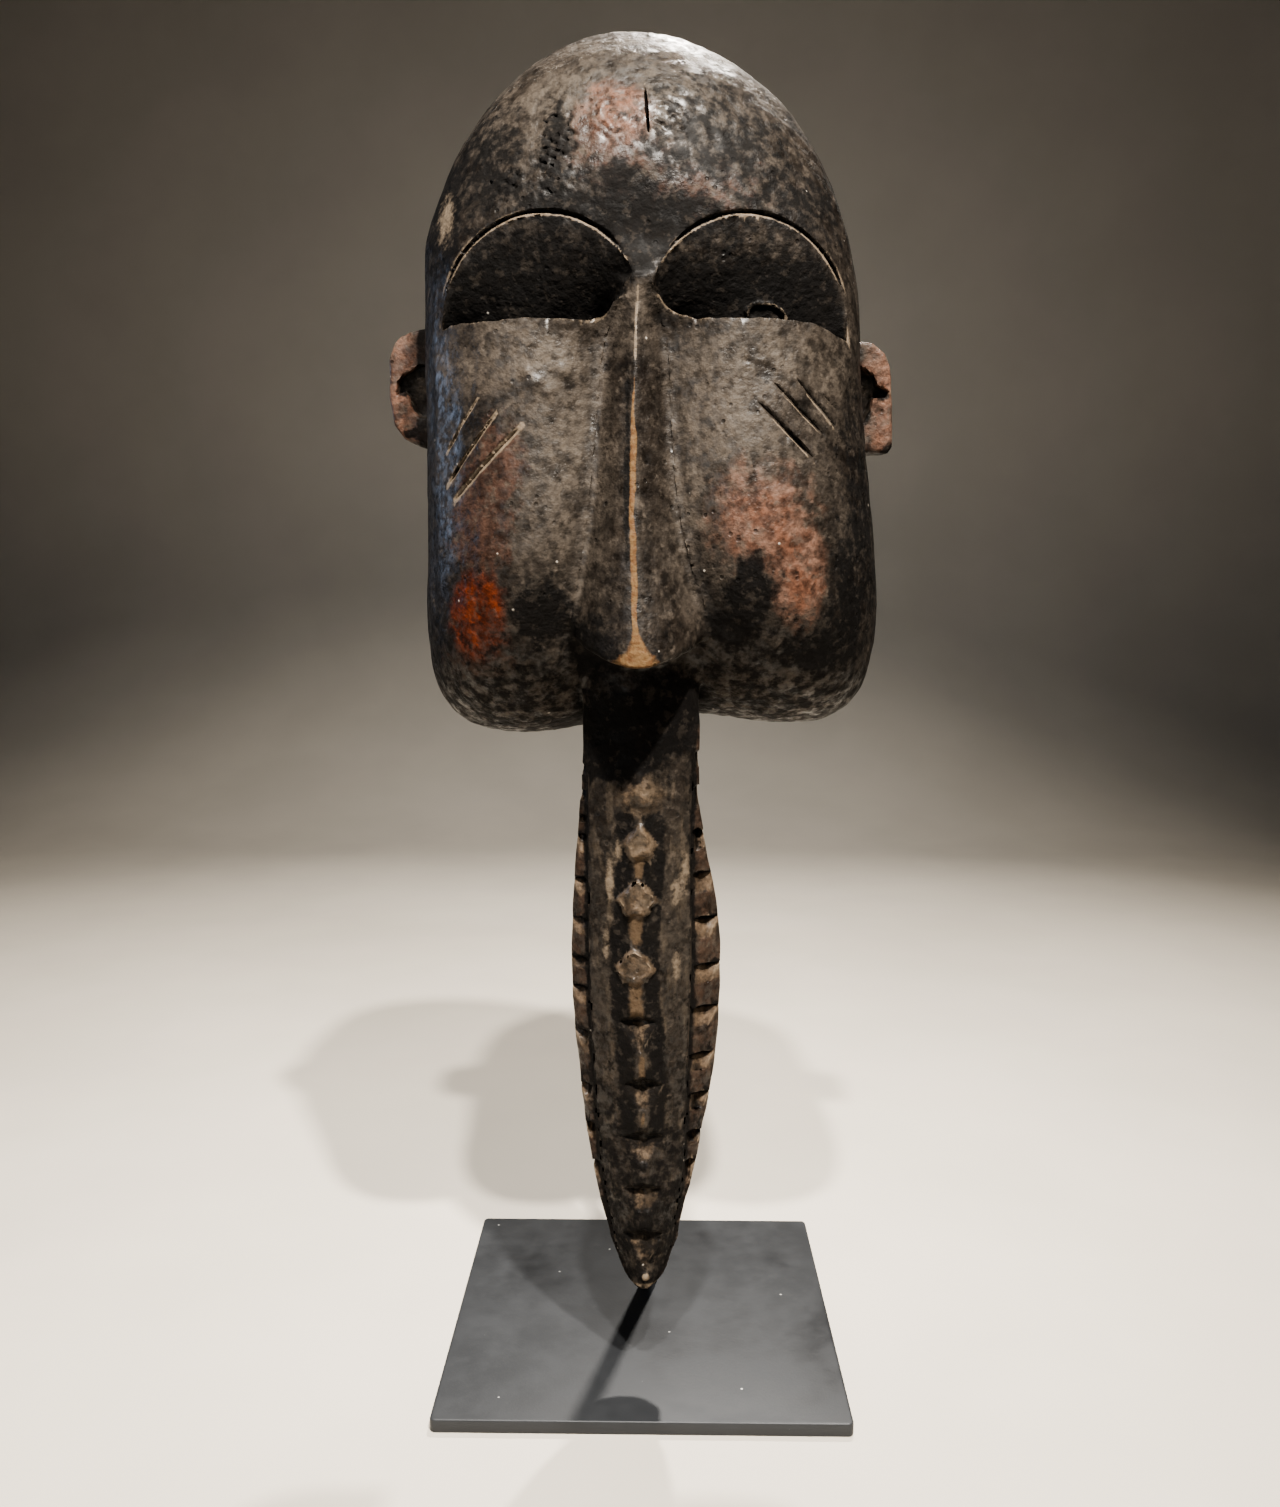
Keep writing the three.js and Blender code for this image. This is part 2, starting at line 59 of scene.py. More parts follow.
# Measured on the frame: corners of the plate and the mask, and the height of the rod's foot
PLATE_LOW, PLATE_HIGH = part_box("stand_plate")
ROD_FOOT_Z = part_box("stand_rod")[0].z
MASK_LOW, MASK_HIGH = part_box("mask")

# Carving sizes are in millimetres. +Z is up and the face looks along -Y. The nose, the rough places and the
# light wear reach back to FRONT_Y. A form's room is the ranges of x, y and z that it is worked out in.
FRONT_Y = -20
FAR = math.inf
ANY = (-FAR, FAR)

# Head: its outline seen from the front as curves of two handles and an end, each as x, z, after the start
OUTLINE_START = (0, 300)
OUTLINE_CURVES = (
    (-20, 298, -34, 291.5, -54, 291.5),
    (-88, 291.5, -97.5, 304, -97.5, 350),
    (-95.5, 395, -97.5, 462, -97.5, 502),
    (-97.5, 512, -74, 593.5, -5, 593.5),
    (22, 593.5, 92, 568, 93, 464),
    (93, 419, 101.5, 385, 102.5, 350),
    (102.5, 305, 90, 296.3, 62, 296.5),
    (42, 297, 34, 302, 0, 300),
)
HEAD_MIDDLE = 435
FACE_POWER = 3
DOME_POWER = 2.4
DOME_Z = (440, 530)
RIM_Y = 50
RIM_TAPER = 0.04
RIM_ROUNDING = 3
CHEEK_BULGE = 9
CHEEK_PLACE = (54, 360)
CHEEK_SPREAD = (34, 48)
VALLEY_DEPTH = 14
VALLEY_SPREAD = 19
VALLEY_END = (452, 482)
BROW_HOLLOW = 5
BROW_PLACE = (-2, 494)
BROW_SPREAD = (34, 14)

# Ledge under the eyes: its height, its fall towards the temples and its drop inwards, then the fillet
# where it runs up to the nose, with a rise and a run for the left and the right
LEDGE_Z = 461
LEDGE_FALL = 5
LEDGE_FALL_X = (60, 90)
LEDGE_DROP = 3
FLARE = ((6, 3), (9, 6))
FLARE_X = -4
FLARE_HALF = 9

# Eyes: round sockets cut above the ledge, each with a slit at its foot
EYE_MIDDLES = (-42.4, 41.2)
EYE_RADIUS = 41
EYE_LIP = 0.8
EYE_ROOM = (ANY, (-FAR, 8), (LEDGE_Z - 16, LEDGE_Z + 48))
LID_POWER = 1.5
SLIT_HALF = 24
SLIT_HEIGHT = 4
SLIT_COVER = 6
SLIT_BACK_Y = -20
SLIT_ROOM = (ANY, (-FAR, -10), (LEDGE_Z - 16, LEDGE_Z + 16))

# Brow line round each eye: its width, how far its two walls lean for each millimetre of depth, the heights
# over the ledge between which it sets in, and where and how much it weakens towards the nose
BROW_LINE_WIDTH = 2.5
BROW_WALLS = (0.5, 0.9)
BROW_LINE_START = (4, 30)
BROW_LINE_INNER = (0.62, 0.9, 0.7)
# The same for the painted highlight along its lower wall
BROW_HIGHLIGHT_START = (8, 26)
BROW_HIGHLIGHT_INNER = (0.75, 1, 0.8)

# Hollow behind the face
RIM_WALL = 10
HOLLOW_DEPTH = 62
HOLLOW_EYE_RELIEF = 18
HOLLOW_EYE = (468, 30)
NECK_CUT = (46, 285, 36)
NECK_CUT_FRONT = 19.7
NECK_ROOM = ((-60, 60), (8, FAR), (-FAR, 340))

# Nose, from the bridge down to the tip
NOSE_Z = (475, 325)
NOSE_HALF_WIDTHS = (5.5, 12.5, 14.5, 16, 18.5, 22.5, 27.5)
NOSE_CREST_Y = (-77, -79.5, -82.5, -86, -90, -94.5, -98.5)
NOSE_CREST_X = (-3.5, -4.2, -4.8, -5, -4.8, -4, -2.5)
NOSE_SHARP = (1.2, 2.3)
NOSE_BRIDGE_SHARP = (0.5, 0.12)
NOSE_RIM_RISE = 13
NOSE_SIDE = 1.8
NOSE_FOOT = 2
NOSE_BACK_Y = -40
NOSE_FILLET = 5
NOSE_ROOM = ((-50, 50), (-FAR, FRONT_Y), (305, 490))

# Beard, from under the head down to the tip
BEARD_Z = (300.5, 47.8)
BEARD_ROOT_Z = 345
BEARD_LEFT = (26.7, 27, 28.9, 30.8, 31.6, 31, 29, 26.2, 22, 15.5, 13)
BEARD_RIGHT = (23.1, 23.7, 26.1, 31.1, 33.6, 33.4, 31.3, 27.7, 22.2, 16.6, 15.5)
BAND_LEFT = (24.2, 24, 24, 24, 23.7, 23.1, 21.7, 19.9, 17.7, 13.4, 11)
BAND_RIGHT = (20.3, 20.1, 19.8, 20.2, 20.6, 20.1, 19.3, 18.7, 17.3, 14, 12.8)
BEARD_THICKNESS = (36, 35, 34, 33, 32, 30, 27, 23, 19, 15, 13)
KEEL_X = (-1.5, -1.8, -1.9, -2.9, -3.7, -2.8, -0.3, 0, 0.3, 0.7, 1.1)
BEARD_FRONT_Y = -66
BEARD_SWEEP = 7
BEARD_BACKING = 6
BEARD_TAPER = 0.38
BEARD_FILLET = 2.5
BEARD_ROOM = ((-60, 60), ANY, (-FAR, 355))
BAND_BULGE = 8
FLANGE_STEP = 1.5
FLANGE_STEP_Z = (296, 270)
FLANGE_STEP_WIDTH = 6
FLANGE_SLOPE = 0.9
FLANGE_CORNER = 3
# Its rounded tip: height of the rounding, and what the edges gain there
TIP_ROUNDING = 20
TIP_SPARE = 1.5
TIP_SPARE_Z = (50, 6)

# Heights of the stop cuts on the beard's two flanges and down its middle, and where these begin
LEFT_STOPS = (281.4, 270.1, 259.1, 250.9, 232, 214.3, 196.6, 183.6, 163.6, 138.9, 120.9, 103)
RIGHT_STOPS = (286.8, 271.7, 252.9, 234, 214.2, 193.3, 173.8, 152.8, 134.4, 116.9, 103.5)
KEEL_STOPS = (171.5, 143.1, 119, 94.5, 73)
FLANGE_CUTS_TOP = 292
KEEL_CUTS_TOP = 178
# Length of each cut's steep wall and of its long facet, for each millimetre of depth
FLANGE_CUT_RUNS = (0.45, 3.6)
KEEL_CUT_RUNS = (1.1, 3)
# Share of the full depth that the cuts reach on the left and right, and where across the flange
CHIP_SHARES = (0.5, 0.8)
CHIP_MIDDLE = 0.38

# Keel down the middle of the beard: half width of its rib and the heights between which it sets in
KEEL_HALF = 4.2
KEEL_START = (288, 274)
# Its beads as height, half width and crispness, with their reach up and down and the width of their edge
KEEL_BEADS = ((270, 10, 0.4), (248.5, 8.4, 0.8), (225, 9.4, 1.2), (195.5, 9.2, 1.1))
BEAD_UP, BEAD_DOWN = 9.5, 6.5
BEAD_EDGE = 2.4
# Its rubbed bars as upper end, lower end and half width
KEEL_BARS = ((245, 235, 2.6), (220, 206, 3.4), (190.5, 174, 3.4), (158, 147, 1.8), (131, 125, 1.1))
# The knob at its lower end and the dent over it as x, z, half width and height
TIP_KNOB = (1.6, 54.5, 1.5, 2.2)
TIP_DENT = (3.4, 59.5, 3.6, -1.6)

# Ears: flat plates with a carved recess, outlines as x, z
EAR_Y = (2, 15)
EAR_FILLET = 1.2
POCKET_Y = (5, 9)
POCKET_Z = (456, 436)
POCKET_TAPER = 0.25
LEFT_EAR = ((-88, 473.4), (-103, 473.1), (-108.3, 472.4), (-112.3, 470.5), (-115.6, 466.8),
            (-117.6, 459.5), (-117.7, 442.7), (-115.6, 430.6), (-111.5, 425), (-104.6, 421.6), (-88, 417.5))
LEFT_POCKET = ((-96, 457.5), (-104, 457.3), (-108, 454.6), (-111.3, 453), (-114, 449.7),
               (-114.4, 444), (-110.8, 445.2), (-109.2, 443.7), (-107, 437), (-104.1, 434.4), (-96, 433.8))
RIGHT_EAR = ((88, 468.5), (96, 468.3), (102.1, 467.1), (107.4, 462.7), (110.1, 457.7),
             (111.3, 451.4), (111.9, 434.3), (111.7, 421.5), (109.8, 418.9), (88, 418.3))
RIGHT_POCKET = ((92, 457.7), (98.5, 456.4), (102.5, 453.9), (104.5, 448.8), (109.6, 445.9),
                (108.5, 443.6), (102.7, 443.1), (101.5, 438.1), (98.4, 432.8), (92, 432.8))
EARS = (
    (LEFT_EAR, LEFT_POCKET, ((-FAR, -80), ANY, (405, 490))),
    (RIGHT_EAR, RIGHT_POCKET, ((80, FAR), ANY, (405, 490))),
)

# Cheek scars as x, z of both ends, half width and depth
SCARS = (
    ((-66.2, 432.1), (-81.8, 410), 0.8, 1.0),
    ((-58.8, 425.1), (-81.5, 396.7), 1.2, 1.5),
    ((-48.9, 419.3), (-78.4, 390.4), 1.7, 1.9),
    ((42.7, 430), (68.6, 405.7), 1.2, 1.5),
    ((49.4, 437.2), (72.7, 415.9), 1.2, 1.4),
    ((58.4, 439.5), (78.5, 419.2), 1.2, 1.4),
    ((70.3, 433.7), (79.1, 426.4), 0.8, 0.9),
)
# Room of each groove: its half width, what it has to spare above and below, and its back
GROOVE_REACH = 22
GROOVE_MARGIN = 4
GROOVE_FRONT_Y = -10
# Knots on the left cheek as x, z, half width and height
KNOTS = ((-42.9, 436, 2.1, 1.1), (-32.3, 440.8, 1.9, 1.2), (-38.2, 432.4, 1.7, 0.9), (-47.5, 440, 1.5, 0.7))
KNOT_REACH = 8
# Almond-shaped ring on the right eye panel: middle, half width and height, lean and thickness
CURL_PLACE = (48.6, 465.8)
CURL_HALF = (7.8, 4.2)
CURL_LEAN = 0.12
CURL_RADIUS = 1.0

# Forehead: its low boss, the wrinkles round the boss's two ends as x, z and reach, and its crack
BOSS_PLACE = (-1, 543)
BOSS_SPREAD = (15, 12)
BOSS_HEIGHT = 1.6
WRINKLED = ((-13, 541, 14), (9, 541, 11))
WRINKLE_HEIGHT = 0.2
CRACK = ((0.7, 532.4), (-1.1, 554.4), 0.55, 3)

# Rough places: x, z, half width and half height, then the dents' length, threshold and depth
ROUGH_PLACES = (
    ((-36, 527, 10, 26), 3.8, 0.3, 0.75),
    ((12, 541, 11, 14), 5, 0.1, 0.5),
    ((-57, 516, 12, 9), 5, 0.3, 0.7),
    ((45, 444.8, 10, 7), 5, 0.4, 0.4),
)
# Tool marks all over: the last axis is squeezed, so that they run up and down, then length, seed and share
MARK_STRETCH = (1, 1, 0.6)
TOOL_MARKS = ((17, 3, 0.65), (7, 5, 0.35))
DENT_SEED = 9

# Plate's corner radius, and the rod's place, radius, bend, tip, curve handles and eased ends
PLATE_CORNER = 2.5
ROD_X, ROD_Y, ROD_RADIUS = 3, 24, 4
ROD_BEND_Z = 490
ROD_TIP = (-4, -8, 573)
ROD_HANDLES = (40, 34)
ROD_EASE = 0.6
# Steps round each corner of the plate, up the rod, along its bend and round it
CORNER_STEPS = 8
UPRIGHT_STEPS = 12
BEND_STEPS = 24
ROUND_STEPS = 40


# Sizes and colours that a user may change

class MaskSizes(bpy.types.PropertyGroup):
    face_depth: FloatProperty(
        name="Face depth", description="How far the face stands out in front of the widest line",
        default=0.080, unit="LENGTH")
    wall: FloatProperty(
        name="Wall", description="Thickness of the wood at the sides of the hollow",
        default=0.014, unit="LENGTH")
    eye_depth: FloatProperty(
        name="Eye depth", description="How far the eye panel sinks behind the cheek",
        default=0.019, unit="LENGTH")
    keel_height: FloatProperty(
        name="Keel height", description="Height of the rib down the middle of the beard",
        default=0.0022, unit="LENGTH")
    chip_depth: FloatProperty(
        name="Chip depth", description="Depth of the chip cuts at the beard's edge",
        default=0.0042, unit="LENGTH")
    tool_marks: FloatProperty(
        name="Tool marks", description="Height of the dents that the adze and knife left",
        default=0.0004, unit="LENGTH", precision=5)
    grid: FloatProperty(
        name="Grid", description="Width of the cells that the carved surface is drawn through",
        default=0.0010, unit="LENGTH", precision=4)


class WoodFinish(bpy.types.PropertyGroup):
    patina: FloatVectorProperty(
        name="Patina", description="Dark handled brown of most of the wood",
        default=(0.013, 0.0098, 0.0074), subtype="COLOR")
    dusty: FloatVectorProperty(
        name="Dusty brown", description="Lighter greyish brown between the dark places",
        default=(0.036, 0.0295, 0.0235), subtype="COLOR")
    # Also laid on as painted shade: in the hollows, on the lids, in the ears' recesses, in the flanges' stop
    # cuts and under the chin
    soot_and_shade: FloatVectorProperty(
        name="Soot", description="Nearly black crust in the hollows",
        default=(0.0022, 0.0018, 0.0016), subtype="COLOR")
    # Also laid on as painted highlights: under the brows, on the nose's crest, the right scars, the chip
    # facets, the keel's wedges and the beard's tip
    pale: FloatVectorProperty(
        name="Pale wood", description="Greyish wood on the beads and chip cuts",
        default=(0.16, 0.125, 0.09), subtype="COLOR")
    bare: FloatVectorProperty(
        name="Bare wood", description="Tan wood where the patina has rubbed off",
        default=(0.19, 0.115, 0.055), subtype="COLOR")
    earth: FloatVectorProperty(
        name="Red earth", description="Rubbed red earth on the cheeks",
        default=(0.12, 0.022, 0.005), subtype="COLOR")
    rose: FloatVectorProperty(
        name="Rose", description="Pale rose rubbing on the forehead and right cheek",
        default=(0.125, 0.056, 0.034), subtype="COLOR")
    roughness: FloatProperty(
        name="Roughness", description="Roughness of the handled wood", default=0.56, subtype="FACTOR")
    relief: FloatProperty(
        name="Fine relief", description="Height of the pits and grain",
        default=0.0007, unit="LENGTH", precision=5)


class StandFinish(bpy.types.PropertyGroup):
    edge: FloatProperty(
        name="Edge", description="Width of the eased edges of the plate", default=0.0007, unit="LENGTH",
        precision=4)
    black: FloatVectorProperty(
        name="Black", description="Blackened steel", default=(0.026, 0.028, 0.031), subtype="COLOR")
    smudge: FloatVectorProperty(
        name="Smudge", description="Darker touched places", default=(0.014, 0.015, 0.017), subtype="COLOR")
    roughness: FloatProperty(
        name="Roughness", description="Roughness of the steel", default=0.48, subtype="FACTOR")


class StageLook(bpy.types.PropertyGroup):
    floor: FloatVectorProperty(
        name="Floor", description="Pale floor", default=(0.50, 0.46, 0.40), subtype="COLOR")
    key: FloatProperty(
        name="Key light", description="Light from the front right above", default=11.0)
    front: FloatProperty(
        name="Front light", description="Light from straight in front above", default=8.0)
    top: FloatProperty(
        name="Top light", description="Light from above and behind", default=9.0)
    fill: FloatProperty(
        name="Fill light", description="Large weak light from the front left", default=2.2)
    rim: FloatProperty(
        name="Cool light", description="Cool light along the left side", default=0.4)
    wall: FloatProperty(
        name="Wall light", description="Light that falls only on the background", default=1.6)


# Plain forms as fields: negative inside the wood, positive outside, in millimetres

def hump(value):
    return np.exp(-value * value / 2)


def ramp(value, start, end):
    t = np.clip((value - start) / (end - start), 0, 1)
    return t * t * (3 - 2 * t)


def along(values, t):
    """Smooth value at t from 0 to 1 through evenly spaced values."""
    values = np.asarray(values, float)
    last = len(values) - 1
    place = np.clip(t * last, 0, last)
    i = np.minimum(last - 1, np.floor(place).astype(int))
    f = place - i
    a, b, c, d = (values[np.clip(i + k, 0, last)] for k in (-1, 0, 1, 2))
    return b + 0.5 * f * (c - a + f * (2 * a - 5 * b + 4 * c - d + f * (3 * (b - c) + d - a)))


def join(a, b, blend):
    """Both forms together, with a fillet about as wide as blend between them."""
    h = np.clip(0.5 + 0.5 * (b - a) / blend, 0, 1)
    return b + (a - b) * h - blend * h * (1 - h)


def cut(a, b, blend):
    """The first form with the second taken away."""
    return -join(-a, b, blend)


def meet(a, b, blend):
    """What both forms share."""
    return -join(-a, -b, blend)


def outline_path():
    points = [np.array(OUTLINE_START, float)]
    steps = np.linspace(0, 1, 91)[1:, None]
    for x1, z1, x2, z2, x3, z3 in OUTLINE_CURVES:
        a, b, c, d = points[-1], np.array([x1, z1]), np.array([x2, z2]), np.array([x3, z3])
        curve = (1 - steps) ** 3 * a + 3 * (1 - steps) ** 2 * steps * b
        curve = curve + 3 * (1 - steps) * steps ** 2 * c + steps ** 3 * d
        points.extend(curve)
    return np.array(points[1:])


OUTLINE = outline_path()
OUTLINE_ANGLES = np.arctan2(OUTLINE[:, 1] - HEAD_MIDDLE, OUTLINE[:, 0])
OUTLINE_RADII = np.hypot(OUTLINE[:, 0], OUTLINE[:, 1] - HEAD_MIDDLE)


def edge_radius(x, z):
    """Distance from the middle of the face to its outline, through x, z."""
    return np.interp(np.arctan2(z - HEAD_MIDDLE, x), OUTLINE_ANGLES, OUTLINE_RADII, period=2 * np.pi)


def head_power(z):
    return FACE_POWER + (DOME_POWER - FACE_POWER) * ramp(z, *DOME_Z)


def ledge_at(x):
    return LEDGE_Z - LEDGE_FALL * ramp(x, *LEDGE_FALL_X)


def face_depth(sizes, x, z):
    """How far the face would stand out at x, z if it weren't rounded off towards its outline."""

    def swelling(across, place, spread):
        return hump((across - place[0]) / spread[0]) * hump((z - place[1]) / spread[1])

    cheek = swelling(np.abs(x), CHEEK_PLACE, CHEEK_SPREAD)
    valley = hump((x - NOSE_CREST_X[2]) / VALLEY_SPREAD) * (1 - ramp(z, *VALLEY_END))
    boss = swelling(x, BOSS_PLACE, BOSS_SPREAD)
    brow = swelling(x, BROW_PLACE, BROW_SPREAD)
    deep = sizes.face_depth / MM + CHEEK_BULGE * cheek - VALLEY_DEPTH * valley + BOSS_HEIGHT * boss
    deep -= BROW_HOLLOW * brow
    for knot_x, knot_z, spread, height in KNOTS:
        near = (np.abs(x - knot_x) < KNOT_REACH) & (np.abs(z - knot_z) < KNOT_REACH)
        if near.any():
            away = np.hypot(x[near] - knot_x, z[near] - knot_z)
            deep[near] += height * hump(away / spread)
    return deep


def face_y(sizes, x, z):
    """Place of the face's surface in front of x, z."""
    out = np.minimum(1, np.hypot(x, z - HEAD_MIDDLE) / edge_radius(x, z))
    power = head_power(z)
    return -(1 - out ** power) ** (1 / power) * face_depth(sizes, x, z)


def rounded(across, forward, wide, deep, power):
    """Distance to a form that is round in plan and flatter towards its front."""
    size = (across ** power + forward ** power) ** (1 / power) + 1e-6
    steep = np.hypot((across / size) ** (power - 1) / wide, (forward / size) ** (power - 1) / deep)
    return (size - 1) / np.maximum(steep, 1e-4)


def head(sizes, x, y, z):
    edge = edge_radius(x, z) * (1 - RIM_TAPER * (np.maximum(y, 0) / RIM_Y) ** 2)
    deep = face_depth(sizes, x, z)
    across = np.hypot(x, z - HEAD_MIDDLE) / edge
    block = rounded(across, np.maximum(-y, 0) / deep, edge, deep, head_power(z))
    return meet(block, y - RIM_Y, RIM_ROUNDING)


def hollow(sizes, x, y, z):
    wall = sizes.wall / MM
    back = np.maximum(y, 0) / RIM_Y
    inset = wall + (RIM_WALL - wall) * back
    edge = edge_radius(x, z) * (1 - RIM_TAPER * back ** 2) - inset
    deep = HOLLOW_DEPTH - HOLLOW_EYE_RELIEF * hump((z - HOLLOW_EYE[0]) / HOLLOW_EYE[1])
    across = np.hypot(x, z - HEAD_MIDDLE) / edge
    return rounded(across, np.maximum(-y, 0) / deep, edge, deep, head_power(z))


def neck_cut(x, y, z):
    half, base, height = NECK_CUT
    size = ((np.abs(x) / half) ** 5 + (np.maximum(z - base, 0) / height) ** 5) ** 0.2
    return np.maximum((size - 1) * height, NECK_CUT_FRONT - y)


def eye_socket(sizes, middle, x, y, z):
    u = np.clip((x - middle) / EYE_RADIUS, -0.995, 0.995)
    ledge = ledge_at(x)
    top = LEDGE_Z + EYE_RADIUS * np.sqrt(1 - u * u)
    edge_y = face_y(sizes, x, ledge)
    deep_y = edge_y + sizes.eye_depth / MM * (1 - u * u) ** 0.4
    arch_y = face_y(sizes, x, top) + EYE_LIP
    low = ledge - LEDGE_DROP * (deep_y - edge_y) / (sizes.eye_depth / MM)
    t = np.clip((top - z) / (top - low), 0, 1)
    lid_y = arch_y + (deep_y - arch_y) * t ** LID_POWER
    slope = LID_POWER * (deep_y - arch_y) / (top - low) * t ** (LID_POWER - 1)
    lid = (y - lid_y) / np.hypot(1, slope)
    if middle > 0:
        lid = np.maximum(lid, -curl(x, y, z, lid_y))
    rise, run = FLARE[int(middle > 0)]
    flare = rise * np.exp(-np.maximum(np.abs(x - FLARE_X) - FLARE_HALF, 0) / run)
    floor = ledge + flare - LEDGE_DROP * (y - edge_y) / (sizes.eye_depth / MM) - z
    ring = np.hypot(x - middle, z - LEDGE_Z) - EYE_RADIUS
    return np.maximum(np.maximum(ring, lid), floor)


def curl(x, y, z, lid_y):
    """Raised almond-shaped ring left standing on the right eye panel."""
    aside = x - CURL_PLACE[0]
    across, up = aside / CURL_HALF[0], (z - CURL_PLACE[1] + CURL_LEAN * aside) / CURL_HALF[1]
    size = np.hypot(across, up) + 1e-6
    away = (size - 1) * size / np.hypot(across / CURL_HALF[0], up / CURL_HALF[1])
    return np.hypot(away, y - lid_y) - CURL_RADIUS


def line_strength(middle, x, z, start, inner):
    """How strong the line over an eye is: it sets in above the ledge and weakens towards the nose."""
    inward = np.sign(middle) * (middle - x) / EYE_RADIUS
    begin, end, loss = inner
    return ramp(z, LEDGE_Z + start[0], LEDGE_Z + start[1]) * (1 - loss * ramp(inward, begin, end))


def brow_line(middle, x, z, sunk):
    """Groove round an eye: a steep dark wall above and a wide wall below that catches the light."""
    ring = np.hypot(x - middle, z - LEDGE_Z) - EYE_RADIUS
    steep, wide = BROW_WALLS
    above = ring - (BROW_LINE_WIDTH - steep * sunk)
    below = -0.2 + wide * sunk - ring
    missing = 1 - line_strength(middle, x, z, BROW_LINE_START, BROW_LINE_INNER)
    return np.maximum(above, below) * 0.75 + 1.3 * missing


def eye_slit(sizes, middle, x, y, z):
    u = (x - middle) / SLIT_HALF
    half = SLIT_HEIGHT / 2 * (1 - 0.8 * np.minimum(1, u * u))
    level = ledge_at(x) - LEDGE_DROP + SLIT_HEIGHT / 2
    front = face_y(sizes, x, np.full_like(x, LEDGE_Z)) + sizes.eye_depth / MM - SLIT_COVER
    tall = np.maximum(np.abs(z - level) - half, np.abs(x - middle) - SLIT_HALF)
    return np.maximum(tall, np.maximum(front - y, y - SLIT_BACK_Y))


def down_nose(z):
    """Share of the way down the nose, from 0 at the bridge to 1 at the tip."""
    top, tip = NOSE_Z
    return np.clip((top - z) / (top - tip), 0, 1)


def nose(sizes, x, y, z):
    top, tip = NOSE_Z
    t = down_nose(z)
    for _ in range(2):
        half = along(NOSE_HALF_WIDTHS, t)
        crest_x = along(NOSE_CREST_X, t)
        u = (x - crest_x) / half
        rim = tip + NOSE_RIM_RISE * np.minimum(1.5, u * u)
        t = np.clip((top - z) / (top - rim), 0, 1)
    crest_y = along(NOSE_CREST_Y, t)
    root_y = face_y(sizes, crest_x + half * np.sign(u), np.minimum(z, top)) + NOSE_FOOT
    blunt, sharpest = NOSE_SHARP
    bridge, bridge_length = NOSE_BRIDGE_SHARP
    sharp = blunt + (sharpest - blunt) * t * t + bridge * hump(t / bridge_length)
    far = np.abs(u)
    beyond = np.maximum(far - 1, 0) * half
    flank = root_y + (crest_y - root_y) * (1 - far ** sharp) + NOSE_SIDE * beyond
    slope = (root_y - crest_y) * sharp * far ** (sharp - 1) / half + NOSE_SIDE * (far > 1)
    front = (flank - y) / np.hypot(1, slope)
    under = rim - z - 0.05 * (y - crest_y)
    return meet(meet(front, under, 1.5), np.maximum(z - top - 1, y - NOSE_BACK_Y), 1)


def beard_at(x, z):
    """Share left by the tip's rounding, then the beard's front, half width, band's half width and back."""
    top, tip_z = BEARD_Z
    t = (top - z) / (top - tip_z)
    tip = np.sqrt(np.clip((z - tip_z) / TIP_ROUNDING, 0, 1))
    front = BEARD_FRONT_Y + BEARD_SWEEP * np.maximum(0, t) ** 2
    t = np.clip(t, 0, 1)
    wide = np.where(x < 0, along(BEARD_LEFT, t), along(BEARD_RIGHT, t)) * tip
    wide = wide + TIP_SPARE * hump((z - TIP_SPARE_Z[0]) / TIP_SPARE_Z[1])
    inner = np.where(x < 0, along(BAND_LEFT, t), along(BAND_RIGHT, t)) * tip
    inner = np.maximum(np.minimum(wide - 0.5, inner), 0.5)
    back = front + BEARD_BACKING + along(BEARD_THICKNESS, t) * tip
    return tip, front, wide, inner, back


def nearest_stop(stops, z):
    """Height above the nearest stop cut."""
    stops = np.array(stops[::-1], float)
    middles = (stops[1:] + stops[:-1]) / 2 + 1.5
    return z - stops[np.searchsorted(middles, z)]


def above_flange_stop(x, z):
    return np.where(x < 0, nearest_stop(LEFT_STOPS, z), nearest_stop(RIGHT_STOPS, z))


def keel_side(x, z):
    """Distance from the keel's wandering middle line."""
    return x - along(KEEL_X, (BEARD_Z[0] - z) / (BEARD_Z[0] - BEARD_Z[1]))


def bead_inset(side, z):
    """How far inside the nearest bead a point is: beads widen downwards and then end short."""
    inset = np.full_like(side, -9.0)
    for middle, wide, crisp in KEEL_BEADS:
        uneven = 0.7 * np.sin(side * 0.9 + middle) + 0.5 * np.sin(z * 1.3 + middle)
        above = z - middle + uneven
        narrowing = np.maximum(0, 1 - above / BEAD_UP) ** 0.7
        half = np.where(above > 0, wide * narrowing, wide + 0.6 * above)
        inset = np.maximum(inset, crisp * np.minimum(half - np.abs(side) + 0.3 * uneven, above + BEAD_DOWN))
    return inset


def keel(sizes, x, z, tip):
    """Height of the rib down the middle of the beard, with its beads, its knob and the dent over it."""
    side = keel_side(x, z)
    rib = 1 / (1 + (side / KEEL_HALF) ** 4)
    inset = bead_inset(side, z)
    bead = np.clip(inset / BEAD_EDGE, 0, 1) - 0.35 * np.clip((inset - 3) / 1.5, 0, 1)
    fade = ramp(z, *KEEL_START) * tip
    end = sum(rise * hump(np.hypot(x - end_x, z - end_z) / wide)
              for end_x, end_z, wide, rise in (TIP_KNOB, TIP_DENT))
    return sizes.keel_height / MM * (0.85 * rib + 0.9 * bead) * fade + end


